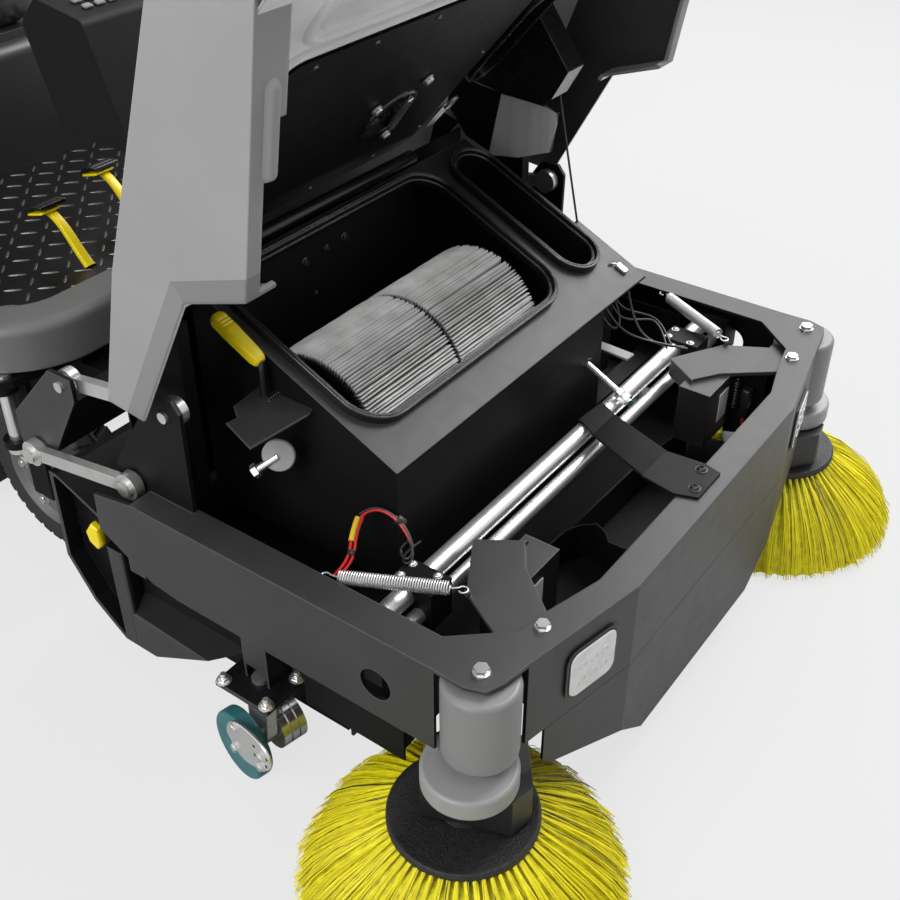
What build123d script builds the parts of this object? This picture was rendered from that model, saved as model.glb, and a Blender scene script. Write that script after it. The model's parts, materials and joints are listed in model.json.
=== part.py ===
from build123d import *
import os
from math import atan2, cos, degrees, hypot, pi, radians, sin, tan

# Ride-on scrubber sweeper. A bumper frame with two side brushes, a sweeping roller, a pleated filter and a
# debris hopper goes ahead of the driver's platform; the scrub deck, seat, tanks and squeegee follow.
# Millimetres. +Z is up, the front faces -Y and +X is the driver's left hand side.
# The pieces are drawn with y = 0 on the line through the two corner rollers; save() then moves them along Y
# so that the origin lies on the floor in the middle of the machine's footprint.

# ---------- front bumper frame ----------
FRAME_TOP = 475
FRAME_HALF = 625            # centre plane to the rails' outer face
SHEET = 6                   # frame plate
WEB_H = 170                 # height of the rails and of the nose
FLANGE = 61                 # width of the rails' top flange
NOSE_FLANGE = 57
NOSE_Y = -95                # flat front of the nose
NOSE_HALF = 300             # half width of that flat front
CORNER_X = FRAME_HALF - 80  # where the slanted nose panels end
CORNER_Y = -45
RAIL_FRONT = 58
RAIL_REAR = 785
FLANGE_REAR = 690
APRON_DROP = 226            # how far the apron hangs below the nose
APRON_T = 4
BEAM = 40                   # square cross beams under the filter housing
BEAM_1_Y = 300
BEAM_2_Y = 690
LAMP_W = 112
LAMP_H = 98
LAMP_D = 4
LAMP_Z = 385
LAMP_OUT = 21               # lamp's place, from the middle of its panel towards the centre

# ---------- corner rollers, brush arms and side brushes ----------
ROLLER_X = FRAME_HALF - 36
ROLLER_R = 60
ROLLER_LOW = 316
ROLLER_TOP = 462
ROLLER_PIN_R = 10
RUN = 0.05                  # radial clearance of a turning pin
SEAT = 0.3                  # gap between faces that slide over each other
ARM_PIVOT_X = FRAME_HALF - 163
ARM_PIVOT_Y = -22
ARM_PIN_R = 9
ARM_PLATE_Z = 452
ARM_PLATE_T = 8
ARM_SWING = 12
BRUSH_X = FRAME_HALF - 21
BRUSH_Y = 18
BRUSH_TIP_R = 284
BRUSH_DISC_R = 122
BRUSH_DISC_LOW = 157
BRUSH_DISC_T = 16
BRISTLE_CLEAR = 3           # bristle tips above the floor
MOTOR_LOW = 180
MOTOR_TOP = 256
LOW_ROLLER_R = 76
LOW_ROLLER_H = 40
SPRING_R = 12
SPRING_WIRE = 1.6
SPRING_Z = 470.5

# ---------- cross tubes and centre bracket ----------
TUBE_R = 18
TUBE_Y = 218
TUBE_Z = 425
ROD_R = 13
ROD_Y = 190
ROD_Z = 398
CHEEK_T = 59                # end cheeks between the cross tubes and the rails
TUBE_HALF = FRAME_HALF - SHEET - CHEEK_T

# ---------- filter housing, cartridge and seals ----------
SLOPE = 25.2                # tilt of the housing's top plate, rising rearwards
HOUSING_HALF = 408
HOUSING_FRONT = 288
HOUSING_REAR = 715
HOUSING_EDGE_Z = 586        # top plate's height at its front edge
HOUSING_WALL = 4
RECESS_D = 66               # how far the housing stands back under its plate on the far side
MAIN_HALF_L = 178           # main opening: half its length up the slope
MAIN_X0 = -372
MAIN_X1 = 198
MAIN_CORNER = 62
OVAL_X = 311
OVAL_HALF_W = 46
OVAL_HALF_L = 170
OPENING_MID = 262           # both openings' centre, up the slope from the front edge
SEAL_W = 15
SEAL_H = 15
PLEATS = 60
PLEAT_R = 135
PLEAT_DEPTH = 15
CARTRIDGE_X0 = -330
CARTRIDGE_X1 = 165
CARTRIDGE_UP = 195          # cartridge axis up the slope from the housing's front edge
CARTRIDGE_DROP = 138        # and below the top plate
CARTRIDGE_CAP = 8

# ---------- sweeping roller, hopper and castors ----------
SWEEP_Y = 520
SWEEP_R = 140
TUNNEL_HALF = FRAME_HALF - 129
SWEEP_HALF = TUNNEL_HALF - 26
TUNNEL_FRONT = 350
PAN_FRONT = -58             # deflector pan ahead of the tunnel, under the brush gear
PAN_HALF = 430
PAN_Z = 226
SKIRT_X = FRAME_HALF - 23      # skirts under the rails, between brush gear and castors
SKIRT_Y = 135
SKIRT_LOW = 200
TUNNEL_REAR = 690
HOPPER_HALF = FRAME_HALF - 25
HOPPER_WALL = 4
HOPPER_RECESS = 34           # how far its sides stand back inside their rim
HOPPER_RIM = 8
CASTOR_X = FRAME_HALF - 13
CASTOR_Y = 437
CASTOR_PLATE_Z = 196
CASTOR_R = 68
CASTOR_W = 32
CASTOR_TRAIL = 12
CASTOR_AXLE_R = 8
CASTOR_OUT = 42             # tyre's middle, outboard of the swivel
CASTOR_TURN = 12           # how far the castor stands swivelled
POST = 56

# ---------- link arms ----------
LINK_UP_Y = 620
LINK_UP_Z = 655
LINK_LOW_Y = 722
LINK_LOW_Z = 482
LINK_DY = 263
LINK_DZ = -43
LINK_PLATE_X = FRAME_HALF - 57
LINK_PLATE_T = 8
EYE_R = 25
EYE_T = 18
LINK_BOLT_R = 10

# ---------- hood ----------
HINGE_Y = HOUSING_REAR + 25
HINGE_Z = 790
HOOD_OPEN = 74              # degrees from shut to the stored open pose
HOOD_HALF = FRAME_HALF - 19
HOOD_WALL = 5
HOOD_SHOULDER_Z = 731
HOOD_BREAK = 592            # where the shoulder line starts to fall towards the front
HOOD_FALL = 0.089
HOOD_SHOULDER_X = 430
HOOD_TOP_Z = 880
HOOD_LOW = 490
HOOD_FRONT = -75
RIM_W = 58                  # how far the wings' lower edges turn in, ahead of RIM_BREAK
RIM_BREAK = 236
LID_GAP = 24                # shut lid above the housing's top plate
LID_T = 4
LID_X0 = -455
LID_X1 = 252

# ---------- chassis, platform and driver's place ----------
BEAM_X = 300                # inner face of the two chassis beams
BEAM_W = 40
BEAM_LOW = 370
BEAM_HIGH = 440
EAR_Z = BEAM_HIGH + 24       # top of the ears that hold the kingpins
CHASSIS_FRONT = 1000
DECK_Z = 560
DECK_T = 6
DECK_FRONT = 1120
DECK_REAR = 1806
CONSOLE_REAR = DECK_REAR + 324
TANK_REAR = CONSOLE_REAR + 320
CHASSIS_REAR = TANK_REAR - 110
DECK_HALF = 530
SILL_W = 90
SILL_R = 200                # outer corners of the sill
SILL_LOW = 476
DASH_HALF = 250
DASH_FOOT = 120             # half width of the leg shield under the dashboard
DASH_WING_Z = 890
WHEEL_F_R = 180
WHEEL_F_W = 100
WHEEL_F_X = 395
WHEEL_F_Y = 1215
KINGPIN_X = WHEEL_F_X + 90
KINGPIN_R = 15
WHEEL_R_R = 205
WHEEL_R_W = 125
WHEEL_R_X = 470
WHEEL_R_Y = CONSOLE_REAR - 45
AXLE_R = 22
CONSOLE_HALF = 545
CONSOLE_TOP = 850
CONSOLE_LOW = 440
CONSOLE_WALL = 5
TANK_TOP = 1330
LID2_T = 34
LID2_Y = CONSOLE_REAR + 136
LID2_PIN_R = 4

# ---------- scrub deck and squeegee ----------
SCRUB_HALF = 530
SCRUB_FRONT = WHEEL_F_Y + 250
SCRUB_REAR = SCRUB_FRONT + 360
SCRUB_TOP = 250
SCRUB_R = 72
SCRUB_GAP = 3
SQUEEGEE_R = 1500
SQUEEGEE_HALF = 640
SQUEEGEE_Y = TANK_REAR - 10  # rearmost point of the squeegee
HOSE_R = 30

FRONT_END = BRUSH_Y - BRUSH_TIP_R
SHIFT_Y = -(FRONT_END + TANK_REAR) / 2   # moves the roller line to its place in the row frame

# ---------- helpers ----------
os.makedirs("parts", exist_ok=True)


def save(name, shape):
    """Writes one sub-part, moved into the row frame."""
    export_step(Pos(0, SHIFT_Y, 0) * shape, f"parts/{name}.step")


def box(x0, x1, y0, y1, z0, z1):
    return Pos((x0 + x1) / 2, (y0 + y1) / 2, (z0 + z1) / 2) * Box(x1 - x0, y1 - y0, z1 - z0)


def prism_x(outline, x0, x1):
    """A prism along X over an outline of (y, z) points."""
    face = Plane.YZ * make_face(Polyline(*outline, close=True))
    return Pos(x0, 0, 0) * extrude(face, x1 - x0, dir=(1, 0, 0))


def prism_y(outline, y0, y1):
    """A prism along Y over an outline of (x, z) points."""
    face = make_face(Polyline(*[(x, 0, z) for x, z in outline], close=True))
    return Pos(0, y0, 0) * extrude(face, y1 - y0, dir=(0, 1, 0))


def prism_z(outline, z0, z1):
    """A prism along Z over an outline of (x, y) points."""
    face = make_face(Polyline(*outline, close=True))
    return Pos(0, 0, z0) * extrude(face, z1 - z0, dir=(0, 0, 1))


def cyl_x(r, x0, x1, y, z):
    return Pos((x0 + x1) / 2, y, z) * Rot(0, 90, 0) * Cylinder(r, x1 - x0)


def cyl_y(r, y0, y1, x, z):
    return Pos(x, (y0 + y1) / 2, z) * Rot(90, 0, 0) * Cylinder(r, y1 - y0)


def cyl_z(r, z0, z1, x, y):
    return Pos(x, y, (z0 + z1) / 2) * Cylinder(r, z1 - z0)


def twin(shape):
    """The same piece on the machine's other side."""
    return mirror(shape, about=Plane.YZ)


def both(shape):
    return shape + twin(shape)


def apart(*shapes):
    """Solids of one node that do not touch."""
    return Compound(children=[s for shape in shapes for s in shape.solids()])


def revolve_z(outline, x, y):
    """A body of revolution about a vertical axis, over (radius, z) points."""
    face = make_face(Polyline(*[(r, 0, z) for r, z in outline], close=True))
    return Pos(x, y, 0) * revolve(face, Axis.Z, 360)


def revolve_x(outline, y, z):
    """A body of revolution about an axis along X, over (x, radius) points."""
    face = make_face(Polyline(*[(px, 0, r) for px, r in outline], close=True))
    return Pos(0, y, z) * revolve(face, Axis.X, 360)


def mirrored(points):
    """An outline's points, followed by their mirror images back again."""
    return points + [(-x, y) for x, y in reversed(points)]


def about(x, y, angle, shape):
    """Turns a piece about a vertical axis."""
    return Pos(x, y, 0) * Rot(0, 0, angle) * Pos(-x, -y, 0) * shape


# ---------- front frame ----------
WEB_LOW = FRAME_TOP - WEB_H
nose_line = [(CORNER_X, CORNER_Y), (NOSE_HALF, NOSE_Y)]
slant = atan2(CORNER_Y - NOSE_Y, CORNER_X - NOSE_HALF)
lamp_x = (CORNER_X + NOSE_HALF) / 2 - LAMP_OUT * cos(slant)
lamp_y = (CORNER_Y + NOSE_Y) / 2 - LAMP_OUT * sin(slant)


def lamp_block(width, height, y0, y1):
    """A block square to the left slanted nose panel, at the lamp's place, between two depths from its face."""
    block = box(-width / 2, width / 2, y0, y1, LAMP_Z - height / 2, LAMP_Z + height / 2)
    return Pos(lamp_x, lamp_y, 0) * Rot(0, 0, degrees(slant)) * block


def front_frame():
    side = [
        (RAIL_FRONT, WEB_LOW), (RAIL_FRONT, FRAME_TOP), (FLANGE_REAR, FRAME_TOP), (RAIL_REAR - 4, FRAME_TOP - 17),
        (RAIL_REAR, FRAME_TOP - 95), (RAIL_REAR - 120, WEB_LOW + 8), (RAIL_REAR - 180, WEB_LOW),
    ]
    rail = prism_x(side, FRAME_HALF - SHEET, FRAME_HALF)
    rail -= cyl_x(29, FRAME_HALF - 2 * SHEET, FRAME_HALF + SHEET, RAIL_FRONT + 110, WEB_LOW + 70)
    inner = FRAME_HALF - FLANGE
    ear = [
        (inner, FLANGE_REAR), (FRAME_HALF, FLANGE_REAR), (FRAME_HALF, RAIL_FRONT), (ROLLER_X + 38, 6),
        (ROLLER_X + 27, -27), (ROLLER_X, -38), (CORNER_X, CORNER_Y), (CORNER_X - 54, CORNER_Y + 48), (inner, 87),
    ]
    flange = prism_z(ear, FRAME_TOP - SHEET, FRAME_TOP)
    flange -= cyl_z(ROLLER_PIN_R + RUN, FRAME_TOP - 2 * SHEET, FRAME_TOP + SHEET, ROLLER_X, 0)
    nose_top = [
        (CORNER_X, CORNER_Y), (NOSE_HALF, NOSE_Y), (-NOSE_HALF, NOSE_Y), (-CORNER_X, CORNER_Y),
        (54 - CORNER_X, CORNER_Y + 48), (112 - CORNER_X, CORNER_Y + 37), (-23 - NOSE_HALF, NOSE_Y + NOSE_FLANGE),
        (23 + NOSE_HALF, NOSE_Y + NOSE_FLANGE), (CORNER_X - 112, CORNER_Y + 37), (CORNER_X - 54, CORNER_Y + 48),
    ]
    plate = prism_z(nose_top, FRAME_TOP - SHEET, FRAME_TOP)
    web = prism_z(
        mirrored(nose_line) + [(1 - CORNER_X, CORNER_Y + SHEET), (-NOSE_HALF + 1, NOSE_Y + SHEET),
                               (NOSE_HALF - 1, NOSE_Y + SHEET), (CORNER_X - 1, CORNER_Y + SHEET)],
        WEB_LOW, FRAME_TOP,
    )
    cut = lamp_block(LAMP_W, LAMP_H, -20, 20)
    web -= cut
    web -= twin(cut)
    web = web & box(8 - CORNER_X, CORNER_X - 8, NOSE_Y - 10, 0, WEB_LOW, FRAME_TOP)
    pivot_hole = cyl_z(ARM_PIN_R + RUN, FRAME_TOP - 2 * SHEET, FRAME_TOP + SHEET, ARM_PIVOT_X, ARM_PIVOT_Y)
    plate -= pivot_hole
    plate -= twin(pivot_hole)
    post = box(FRAME_HALF - SHEET - POST, FRAME_HALF - SHEET, CASTOR_Y - POST / 2, CASTOR_Y + POST / 2,
               CASTOR_PLATE_Z + 10, FRAME_TOP - SHEET)
    pad = box(CASTOR_X - 48, CASTOR_X + 48, CASTOR_Y - 60, CASTOR_Y + 60, CASTOR_PLATE_Z, CASTOR_PLATE_Z + 10)
    pad -= cyl_z(15 + RUN, CASTOR_PLATE_Z - 1, CASTOR_PLATE_Z + 20, CASTOR_X, CASTOR_Y)
    post -= cyl_z(24, CASTOR_PLATE_Z + 9, CASTOR_PLATE_Z + 40, CASTOR_X, CASTOR_Y)
    upright = [
        (LINK_UP_Y - 33, FRAME_TOP - SHEET), (LINK_LOW_Y + 40, LINK_LOW_Z - 42), (LINK_LOW_Y + 45, LINK_LOW_Z + 20),
        (LINK_UP_Y + 34, LINK_UP_Z + 20), (LINK_UP_Y + 20, LINK_UP_Z + 36), (LINK_UP_Y - 20, LINK_UP_Z + 36),
        (LINK_UP_Y - 36, LINK_UP_Z + 16),
    ]
    bracket = prism_x(upright, LINK_PLATE_X, LINK_PLATE_X + LINK_PLATE_T)
    for y, z in ((LINK_UP_Y, LINK_UP_Z), (LINK_LOW_Y, LINK_LOW_Z)):
        bracket -= cyl_x(LINK_BOLT_R, LINK_PLATE_X - 1, LINK_PLATE_X + LINK_PLATE_T + 1, y, z)
    side_parts = rail + flange + post + pad + bracket
    beam_half = FRAME_HALF - SHEET
    beams = box(-beam_half, beam_half, BEAM_1_Y, BEAM_1_Y + BEAM, WEB_LOW, WEB_LOW + BEAM)
    beams += box(-beam_half, beam_half, BEAM_2_Y, BEAM_2_Y + BEAM, WEB_LOW, WEB_LOW + BEAM)
    return plate + web + side_parts + twin(side_parts) + beams


def nose_apron():
    """Folded skirt plate below the nose, deepest in the middle."""
    top = WEB_LOW - 1
    low = top - APRON_DROP
    edge = CORNER_X - 50
    half = mirrored([(edge, top), (edge, top - 72), (edge - 20, top - 93), (NOSE_HALF, low + 66), (NOSE_HALF - 82, low)])
    shape = prism_y(half, NOSE_Y - 20, CORNER_Y + 40)
    line = mirrored(nose_line) + [(1 - CORNER_X, CORNER_Y + APRON_T), (-NOSE_HALF + 1, NOSE_Y + APRON_T),
                                  (NOSE_HALF - 1, NOSE_Y + APRON_T), (CORNER_X - 1, CORNER_Y + APRON_T)]
    skirt = shape & prism_z(line, low - 10, top)
    for x in (-200, 200):
        tab = box(x - 25, x + 25, NOSE_Y + SHEET, NOSE_Y + SHEET + APRON_T, top - 40, top + 45)
        joint = box(x - 25, x + 25, NOSE_Y + APRON_T, NOSE_Y + SHEET, top - 40, top - 2)
        skirt += tab + joint
    return skirt


def headlamp():
    """Rounded lamp let into the slanted panel, its lens just proud of it."""
    body = lamp_block(LAMP_W - 8, LAMP_H - 8, -5, LAMP_D)
    edges = body.edges().filter_by(lambda e: abs(e.length - (LAMP_D + 5)) < 0.1)
    body = fillet(edges, 16)
    rim = lamp_block(LAMP_W - 0.6, LAMP_H - 0.6, 0, SHEET)
    return body + rim


def corner_roller():
    body = cyl_z(ROLLER_R, ROLLER_LOW, ROLLER_TOP, ROLLER_X, 0)
    body = fillet(body.edges(), 9)
    pin_hole = cyl_z(ROLLER_PIN_R + RUN, ROLLER_LOW - 1, ROLLER_TOP + 1, ROLLER_X, 0)
    return body - pin_hole


def roller_pin():
    """Headed bolt from above the ear down through the roller, with a retaining disc below."""
    shank = cyl_z(ROLLER_PIN_R, ROLLER_LOW - 8, FRAME_TOP, ROLLER_X, 0)
    head = Pos(ROLLER_X, 0, FRAME_TOP) * extrude(RegularPolygon(12, 6), 10)
    head += cyl_z(13.5, FRAME_TOP, FRAME_TOP + 2.5, ROLLER_X, 0)
    disc = cyl_z(22, ROLLER_LOW - 8, ROLLER_LOW - SEAT, ROLLER_X, 0)
    return shank + head + disc


# ---------- brush arm, motor and side brush (drawn on the left, +X) ----------
def brush_arm():
    outline = [
        (ARM_PIVOT_X - 161, ARM_PIVOT_Y + 134), (ARM_PIVOT_X - 115, ARM_PIVOT_Y + 206),
        (ARM_PIVOT_X - 9, ARM_PIVOT_Y + 144), (ARM_PIVOT_X + 50, ARM_PIVOT_Y + 40),
        (ARM_PIVOT_X + 26, ARM_PIVOT_Y - 4), (ARM_PIVOT_X, ARM_PIVOT_Y - 9), (ARM_PIVOT_X - 30, ARM_PIVOT_Y + 2),
        (ARM_PIVOT_X - 110, ARM_PIVOT_Y + 100),
    ]
    top = ARM_PLATE_Z + ARM_PLATE_T
    plate = prism_z(outline, ARM_PLATE_Z, top)
    plate += cyl_z(22, ARM_PLATE_Z, top, ARM_PIVOT_X, ARM_PIVOT_Y)
    collar = cyl_z(22, ARM_PLATE_Z - 40, FRAME_TOP - SHEET - SEAT, ARM_PIVOT_X, ARM_PIVOT_Y)
    bore = cyl_z(ARM_PIN_R + RUN, ARM_PLATE_Z - 60, FRAME_TOP, ARM_PIVOT_X, ARM_PIVOT_Y)
    lip = prism_z([(ARM_PIVOT_X - 115, ARM_PIVOT_Y + 206), (ARM_PIVOT_X - 121, ARM_PIVOT_Y + 202),
                   (ARM_PIVOT_X - 167, ARM_PIVOT_Y + 132), (ARM_PIVOT_X - 161, ARM_PIVOT_Y + 134)],
                  ARM_PLATE_Z - 30, top)
    riser = box(ARM_PIVOT_X + 28, ARM_PIVOT_X + 58, ARM_PIVOT_Y + 14, ARM_PIVOT_Y + 62, MOTOR_LOW, top)
    foot = prism_z([(BRUSH_X + 53, BRUSH_Y + 45), (BRUSH_X + 3, BRUSH_Y - 91), (BRUSH_X - 41, BRUSH_Y - 99),
                    (ARM_PIVOT_X + 28, ARM_PIVOT_Y - 2), (ARM_PIVOT_X + 28, BRUSH_Y + 50),
                    (BRUSH_X - 40, BRUSH_Y + 82)], MOTOR_LOW, MOTOR_TOP)
    ring = cyl_z(LOW_ROLLER_R, MOTOR_TOP, MOTOR_TOP + LOW_ROLLER_H, BRUSH_X + 5, BRUSH_Y - 14)
    ring = fillet(ring.edges(), 7)
    motor = box(ARM_PIVOT_X - 187, ARM_PIVOT_X - 62, ARM_PIVOT_Y + 84, ARM_PIVOT_Y + 150, ARM_PLATE_Z - 122, ARM_PLATE_Z)
    shaft_hole = cyl_z(16, MOTOR_LOW - 1, MOTOR_LOW + 30, BRUSH_X, BRUSH_Y)
    hook = cyl_z(5, top, SPRING_Z - SPRING_WIRE - SEAT, spring_arm[0], spring_arm[1])
    return plate + collar + lip + riser + foot + motor + ring + hook - bore - shaft_hole


def arm_pin():
    shank = cyl_z(ARM_PIN_R, ARM_PLATE_Z - 48, FRAME_TOP, ARM_PIVOT_X, ARM_PIVOT_Y)
    head = Pos(ARM_PIVOT_X, ARM_PIVOT_Y, FRAME_TOP) * extrude(RegularPolygon(11, 6), 9)
    head += cyl_z(12.5, FRAME_TOP, FRAME_TOP + 2.5, ARM_PIVOT_X, ARM_PIVOT_Y)
    washer = cyl_z(16, ARM_PLATE_Z - 48, ARM_PLATE_Z - 40 - SEAT, ARM_PIVOT_X, ARM_PIVOT_Y)
    return shank + head + washer


def side_brush():
    """Disc, flared bristle ring and drive stub in one piece."""
    low = BRUSH_DISC_LOW
    tips = BRISTLE_CLEAR
    ring = revolve_z([(58, low), (BRUSH_DISC_R - 6, low), (BRUSH_TIP_R, tips + 16), (BRUSH_TIP_R - 4, tips),
                      (BRUSH_TIP_R - 62, tips)], BRUSH_X, BRUSH_Y)
    disc = cyl_z(BRUSH_DISC_R, low, low + BRUSH_DISC_T, BRUSH_X, BRUSH_Y)
    stub = cyl_z(34, low, MOTOR_LOW - SEAT, BRUSH_X, BRUSH_Y)
    return ring + disc + stub


spring_arm = (ARM_PIVOT_X - 4, ARM_PIVOT_Y + 138)
spring_rail = (FRAME_HALF - FLANGE, ARM_PIVOT_Y + 342)


def spring_line(t):
    """A point on the spring's line, from its arm hook at 0 to its rail hook at 1."""
    return (spring_arm[0] + (spring_rail[0] - spring_arm[0]) * t, spring_arm[1] + (spring_rail[1] - spring_arm[1]) * t)


def brush_spring():
    """Extension spring from the arm's end to the rail's flange: coils as one tube, with two hooks."""
    length = hypot(spring_rail[0] - spring_arm[0], spring_rail[1] - spring_arm[1])
    heading = degrees(atan2(spring_rail[1] - spring_arm[1], spring_rail[0] - spring_arm[0]))
    coil = Rot(0, 90, 0) * Cylinder(SPRING_R, length - 56) - Rot(0, 90, 0) * Cylinder(SPRING_R - 3.5, length - 50)
    wire = Rot(0, 90, 0) * Cylinder(SPRING_WIRE, length - 8)
    collar = Rot(0, 90, 0) * Cylinder(SPRING_R - 3, 6)
    ends = Pos((length - 56) / 2 - 3, 0, 0) * collar + Pos(3 - (length - 56) / 2, 0, 0) * collar
    mid = spring_line(0.5)
    return Pos(mid[0], mid[1], SPRING_Z) * Rot(0, 0, heading) * (coil + ends + wire)


def cross_tubes():
    tube = cyl_x(TUBE_R, -TUBE_HALF, TUBE_HALF, TUBE_Y, TUBE_Z)
    rod = cyl_x(ROD_R, -TUBE_HALF, TUBE_HALF, ROD_Y, ROD_Z)
    return apart(tube, rod)


def tube_mounts():
    """End cheeks that carry the cross tubes on the rails' webs, and two clamp blocks near the ends."""
    cheek = box(TUBE_HALF, FRAME_HALF - SHEET, ROD_Y - 30, TUBE_Y + 32, ROD_Z - 30, TUBE_Z + 30)
    clamp = box(TUBE_HALF - 130, TUBE_HALF - 75, ROD_Y - 24, TUBE_Y + 28, ROD_Z - 24, TUBE_Z + 24)
    clamp -= cyl_x(TUBE_R, TUBE_HALF - 140, TUBE_HALF - 60, TUBE_Y, TUBE_Z)
    clamp -= cyl_x(ROD_R, TUBE_HALF - 140, TUBE_HALF - 60, ROD_Y, ROD_Z)
    return apart(cheek, twin(cheek), clamp, twin(clamp))


def centre_bracket():
    """Cranked plate from the nose flange, sloping back and across to the upper cross tube."""
    top = FRAME_TOP + 5
    rest = TUBE_Z + TUBE_R
    flat = prism_z([(32, 34), (38, NOSE_Y + 56), (29, NOSE_Y + 22), (-55, NOSE_Y + 22), (-69, NOSE_Y + 62), (-56, 34)],
                   FRAME_TOP, top)
    plan = prism_z([(-56, 30), (32, 30), (134, TUBE_Y - 10), (142, TUBE_Y + 6), (66, TUBE_Y + 12), (60, TUBE_Y - 4)],
                   rest - 30, top + 10)
    slab = prism_x([(30, FRAME_TOP), (30, top), (TUBE_Y - 34, rest + 6), (TUBE_Y + 40, rest + 6), (TUBE_Y + 40, rest),
                    (TUBE_Y - 34, rest)], -100, 200)
    return flat + (plan & slab)


# ---------- filter housing ----------
def on_slope(shape):
    """Places a piece drawn flat, with y measured up the slope from the front edge, on the housing's top plate."""
    return Pos(0, HOUSING_FRONT, HOUSING_EDGE_Z) * Rot(SLOPE, 0, 0) * shape


def slope_z(y):
    return HOUSING_EDGE_Z + (y - HOUSING_FRONT) * tan(radians(SLOPE))


def round_slot(x0, x1, half_l, corner, z0, z1, grow=0.0):
    """A rounded rectangle block on the flat drawing of the top plate."""
    block = box(x0 - grow, x1 + grow, OPENING_MID - half_l - grow, OPENING_MID + half_l + grow, z0, z1)
    return fillet(block.edges().filter_by(Axis.Z), corner + grow)


def main_slot(z0, z1, grow=0.0):
    return round_slot(MAIN_X0, MAIN_X1, MAIN_HALF_L, MAIN_CORNER, z0, z1, grow)


def oval_slot(z0, z1, grow=0.0):
    return round_slot(OVAL_X - OVAL_HALF_W, OVAL_X + OVAL_HALF_W, OVAL_HALF_L, OVAL_HALF_W - 1, z0, z1, grow)


HOUSING_LOW = WEB_LOW + BEAM
SHOULDER_Y = HOUSING_FRONT + 165      # the plate's sides end here and only its middle goes on to the rear
SHOULDER_X = OVAL_X + OVAL_HALF_W + SEAL_W + 4


def filter_housing():
    rear_z = slope_z(HOUSING_REAR)
    side = [(HOUSING_FRONT, HOUSING_LOW), (HOUSING_FRONT, HOUSING_EDGE_Z), (HOUSING_REAR, rear_z),
            (HOUSING_REAR, HOUSING_LOW)]
    shell = prism_x(side, -HOUSING_HALF, HOUSING_HALF)
    wall = HOUSING_WALL
    lift = wall / cos(radians(SLOPE))
    hollow = [(HOUSING_FRONT + wall, HOUSING_LOW + wall), (HOUSING_FRONT + wall, slope_z(HOUSING_FRONT + wall) - lift),
              (HOUSING_REAR - wall, slope_z(HOUSING_REAR - wall) - lift), (HOUSING_REAR - wall, HOUSING_LOW + wall)]
    inside = prism_x(hollow, wall - HOUSING_HALF, MAIN_X1 + 40)
    corner = box(SHOULDER_X, HOUSING_HALF + 1, SHOULDER_Y, HOUSING_REAR + 1, HOUSING_LOW - 1, rear_z + 1)
    notch = box(-HOUSING_HALF - 1, -SHOULDER_X - 12, SHOULDER_Y + 170, HOUSING_REAR + 1, HOUSING_LOW + 120, rear_z + 1)
    duct = on_slope(oval_slot(-150, 10))
    front = HOUSING_FRONT
    recess = prism_x([(front - 1, HOUSING_LOW - 1), (front - 1, slope_z(front - 1) - lift),
                      (front + RECESS_D, slope_z(front + RECESS_D) - lift), (front + RECESS_D, HOUSING_LOW - 1)],
                     MAIN_X1 + 46, HOUSING_HALF + 1)
    shell = shell - inside - corner - recess - on_slope(main_slot(-30, 10)) - duct
    neck_low = -2
    rims = on_slope(main_slot(neck_low, 8, 6) - main_slot(neck_low - 1, 9))
    rims += on_slope(oval_slot(neck_low, 8, 6) - oval_slot(neck_low - 1, 9))
    return shell + rims


def filter_seals():
    main_seal = on_slope(main_slot(0, SEAL_H, SEAL_W) - main_slot(-1, SEAL_H + 1, 6))
    oval_seal = on_slope(oval_slot(0, SEAL_H, SEAL_W) - oval_slot(-1, SEAL_H + 1, 6))
    return apart(main_seal, oval_seal)


CART_Y = HOUSING_FRONT + CARTRIDGE_UP * cos(radians(SLOPE)) + CARTRIDGE_DROP * sin(radians(SLOPE))
CART_Z = HOUSING_EDGE_Z + CARTRIDGE_UP * sin(radians(SLOPE)) - CARTRIDGE_DROP * cos(radians(SLOPE))


def pleat_pack(x0, x1):
    """A star shaped prism: one ridge and one valley per pleat, around a bored core."""
    points = []
    for i in range(2 * PLEATS):
        r = PLEAT_R if i % 2 == 0 else PLEAT_R - PLEAT_DEPTH
        a = pi * i / PLEATS
        points.append((CART_Y + r * cos(a), CART_Z + r * sin(a)))
    return prism_x(points, x0, x1) - cyl_x(PLEAT_R - 3 * PLEAT_DEPTH, x0 - 1, x1 + 1, CART_Y, CART_Z)


def filter_cartridge():
    """Two pleat packs on one core, with end caps and a groove between them."""
    mid = (CARTRIDGE_X0 + CARTRIDGE_X1) / 2
    packs = pleat_pack(CARTRIDGE_X0, mid - 5) + pleat_pack(mid + 5, CARTRIDGE_X1)
    core = cyl_x(PLEAT_R - 2 * PLEAT_DEPTH, CARTRIDGE_X0 - CARTRIDGE_CAP, CARTRIDGE_X1 + CARTRIDGE_CAP, CART_Y, CART_Z)
    core -= cyl_x(PLEAT_R - 3 * PLEAT_DEPTH, CARTRIDGE_X0 - 20, CARTRIDGE_X1, CART_Y, CART_Z)
    caps = cyl_x(PLEAT_R - 4, CARTRIDGE_X1, CARTRIDGE_X1 + CARTRIDGE_CAP, CART_Y, CART_Z)
    ring = cyl_x(PLEAT_R - 4, CARTRIDGE_X0 - CARTRIDGE_CAP, CARTRIDGE_X0, CART_Y, CART_Z)
    ring -= cyl_x(PLEAT_R - 3 * PLEAT_DEPTH, CARTRIDGE_X0 - 20, CARTRIDGE_X0 + 1, CART_Y, CART_Z)
    return packs + core + caps + ring


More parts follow.
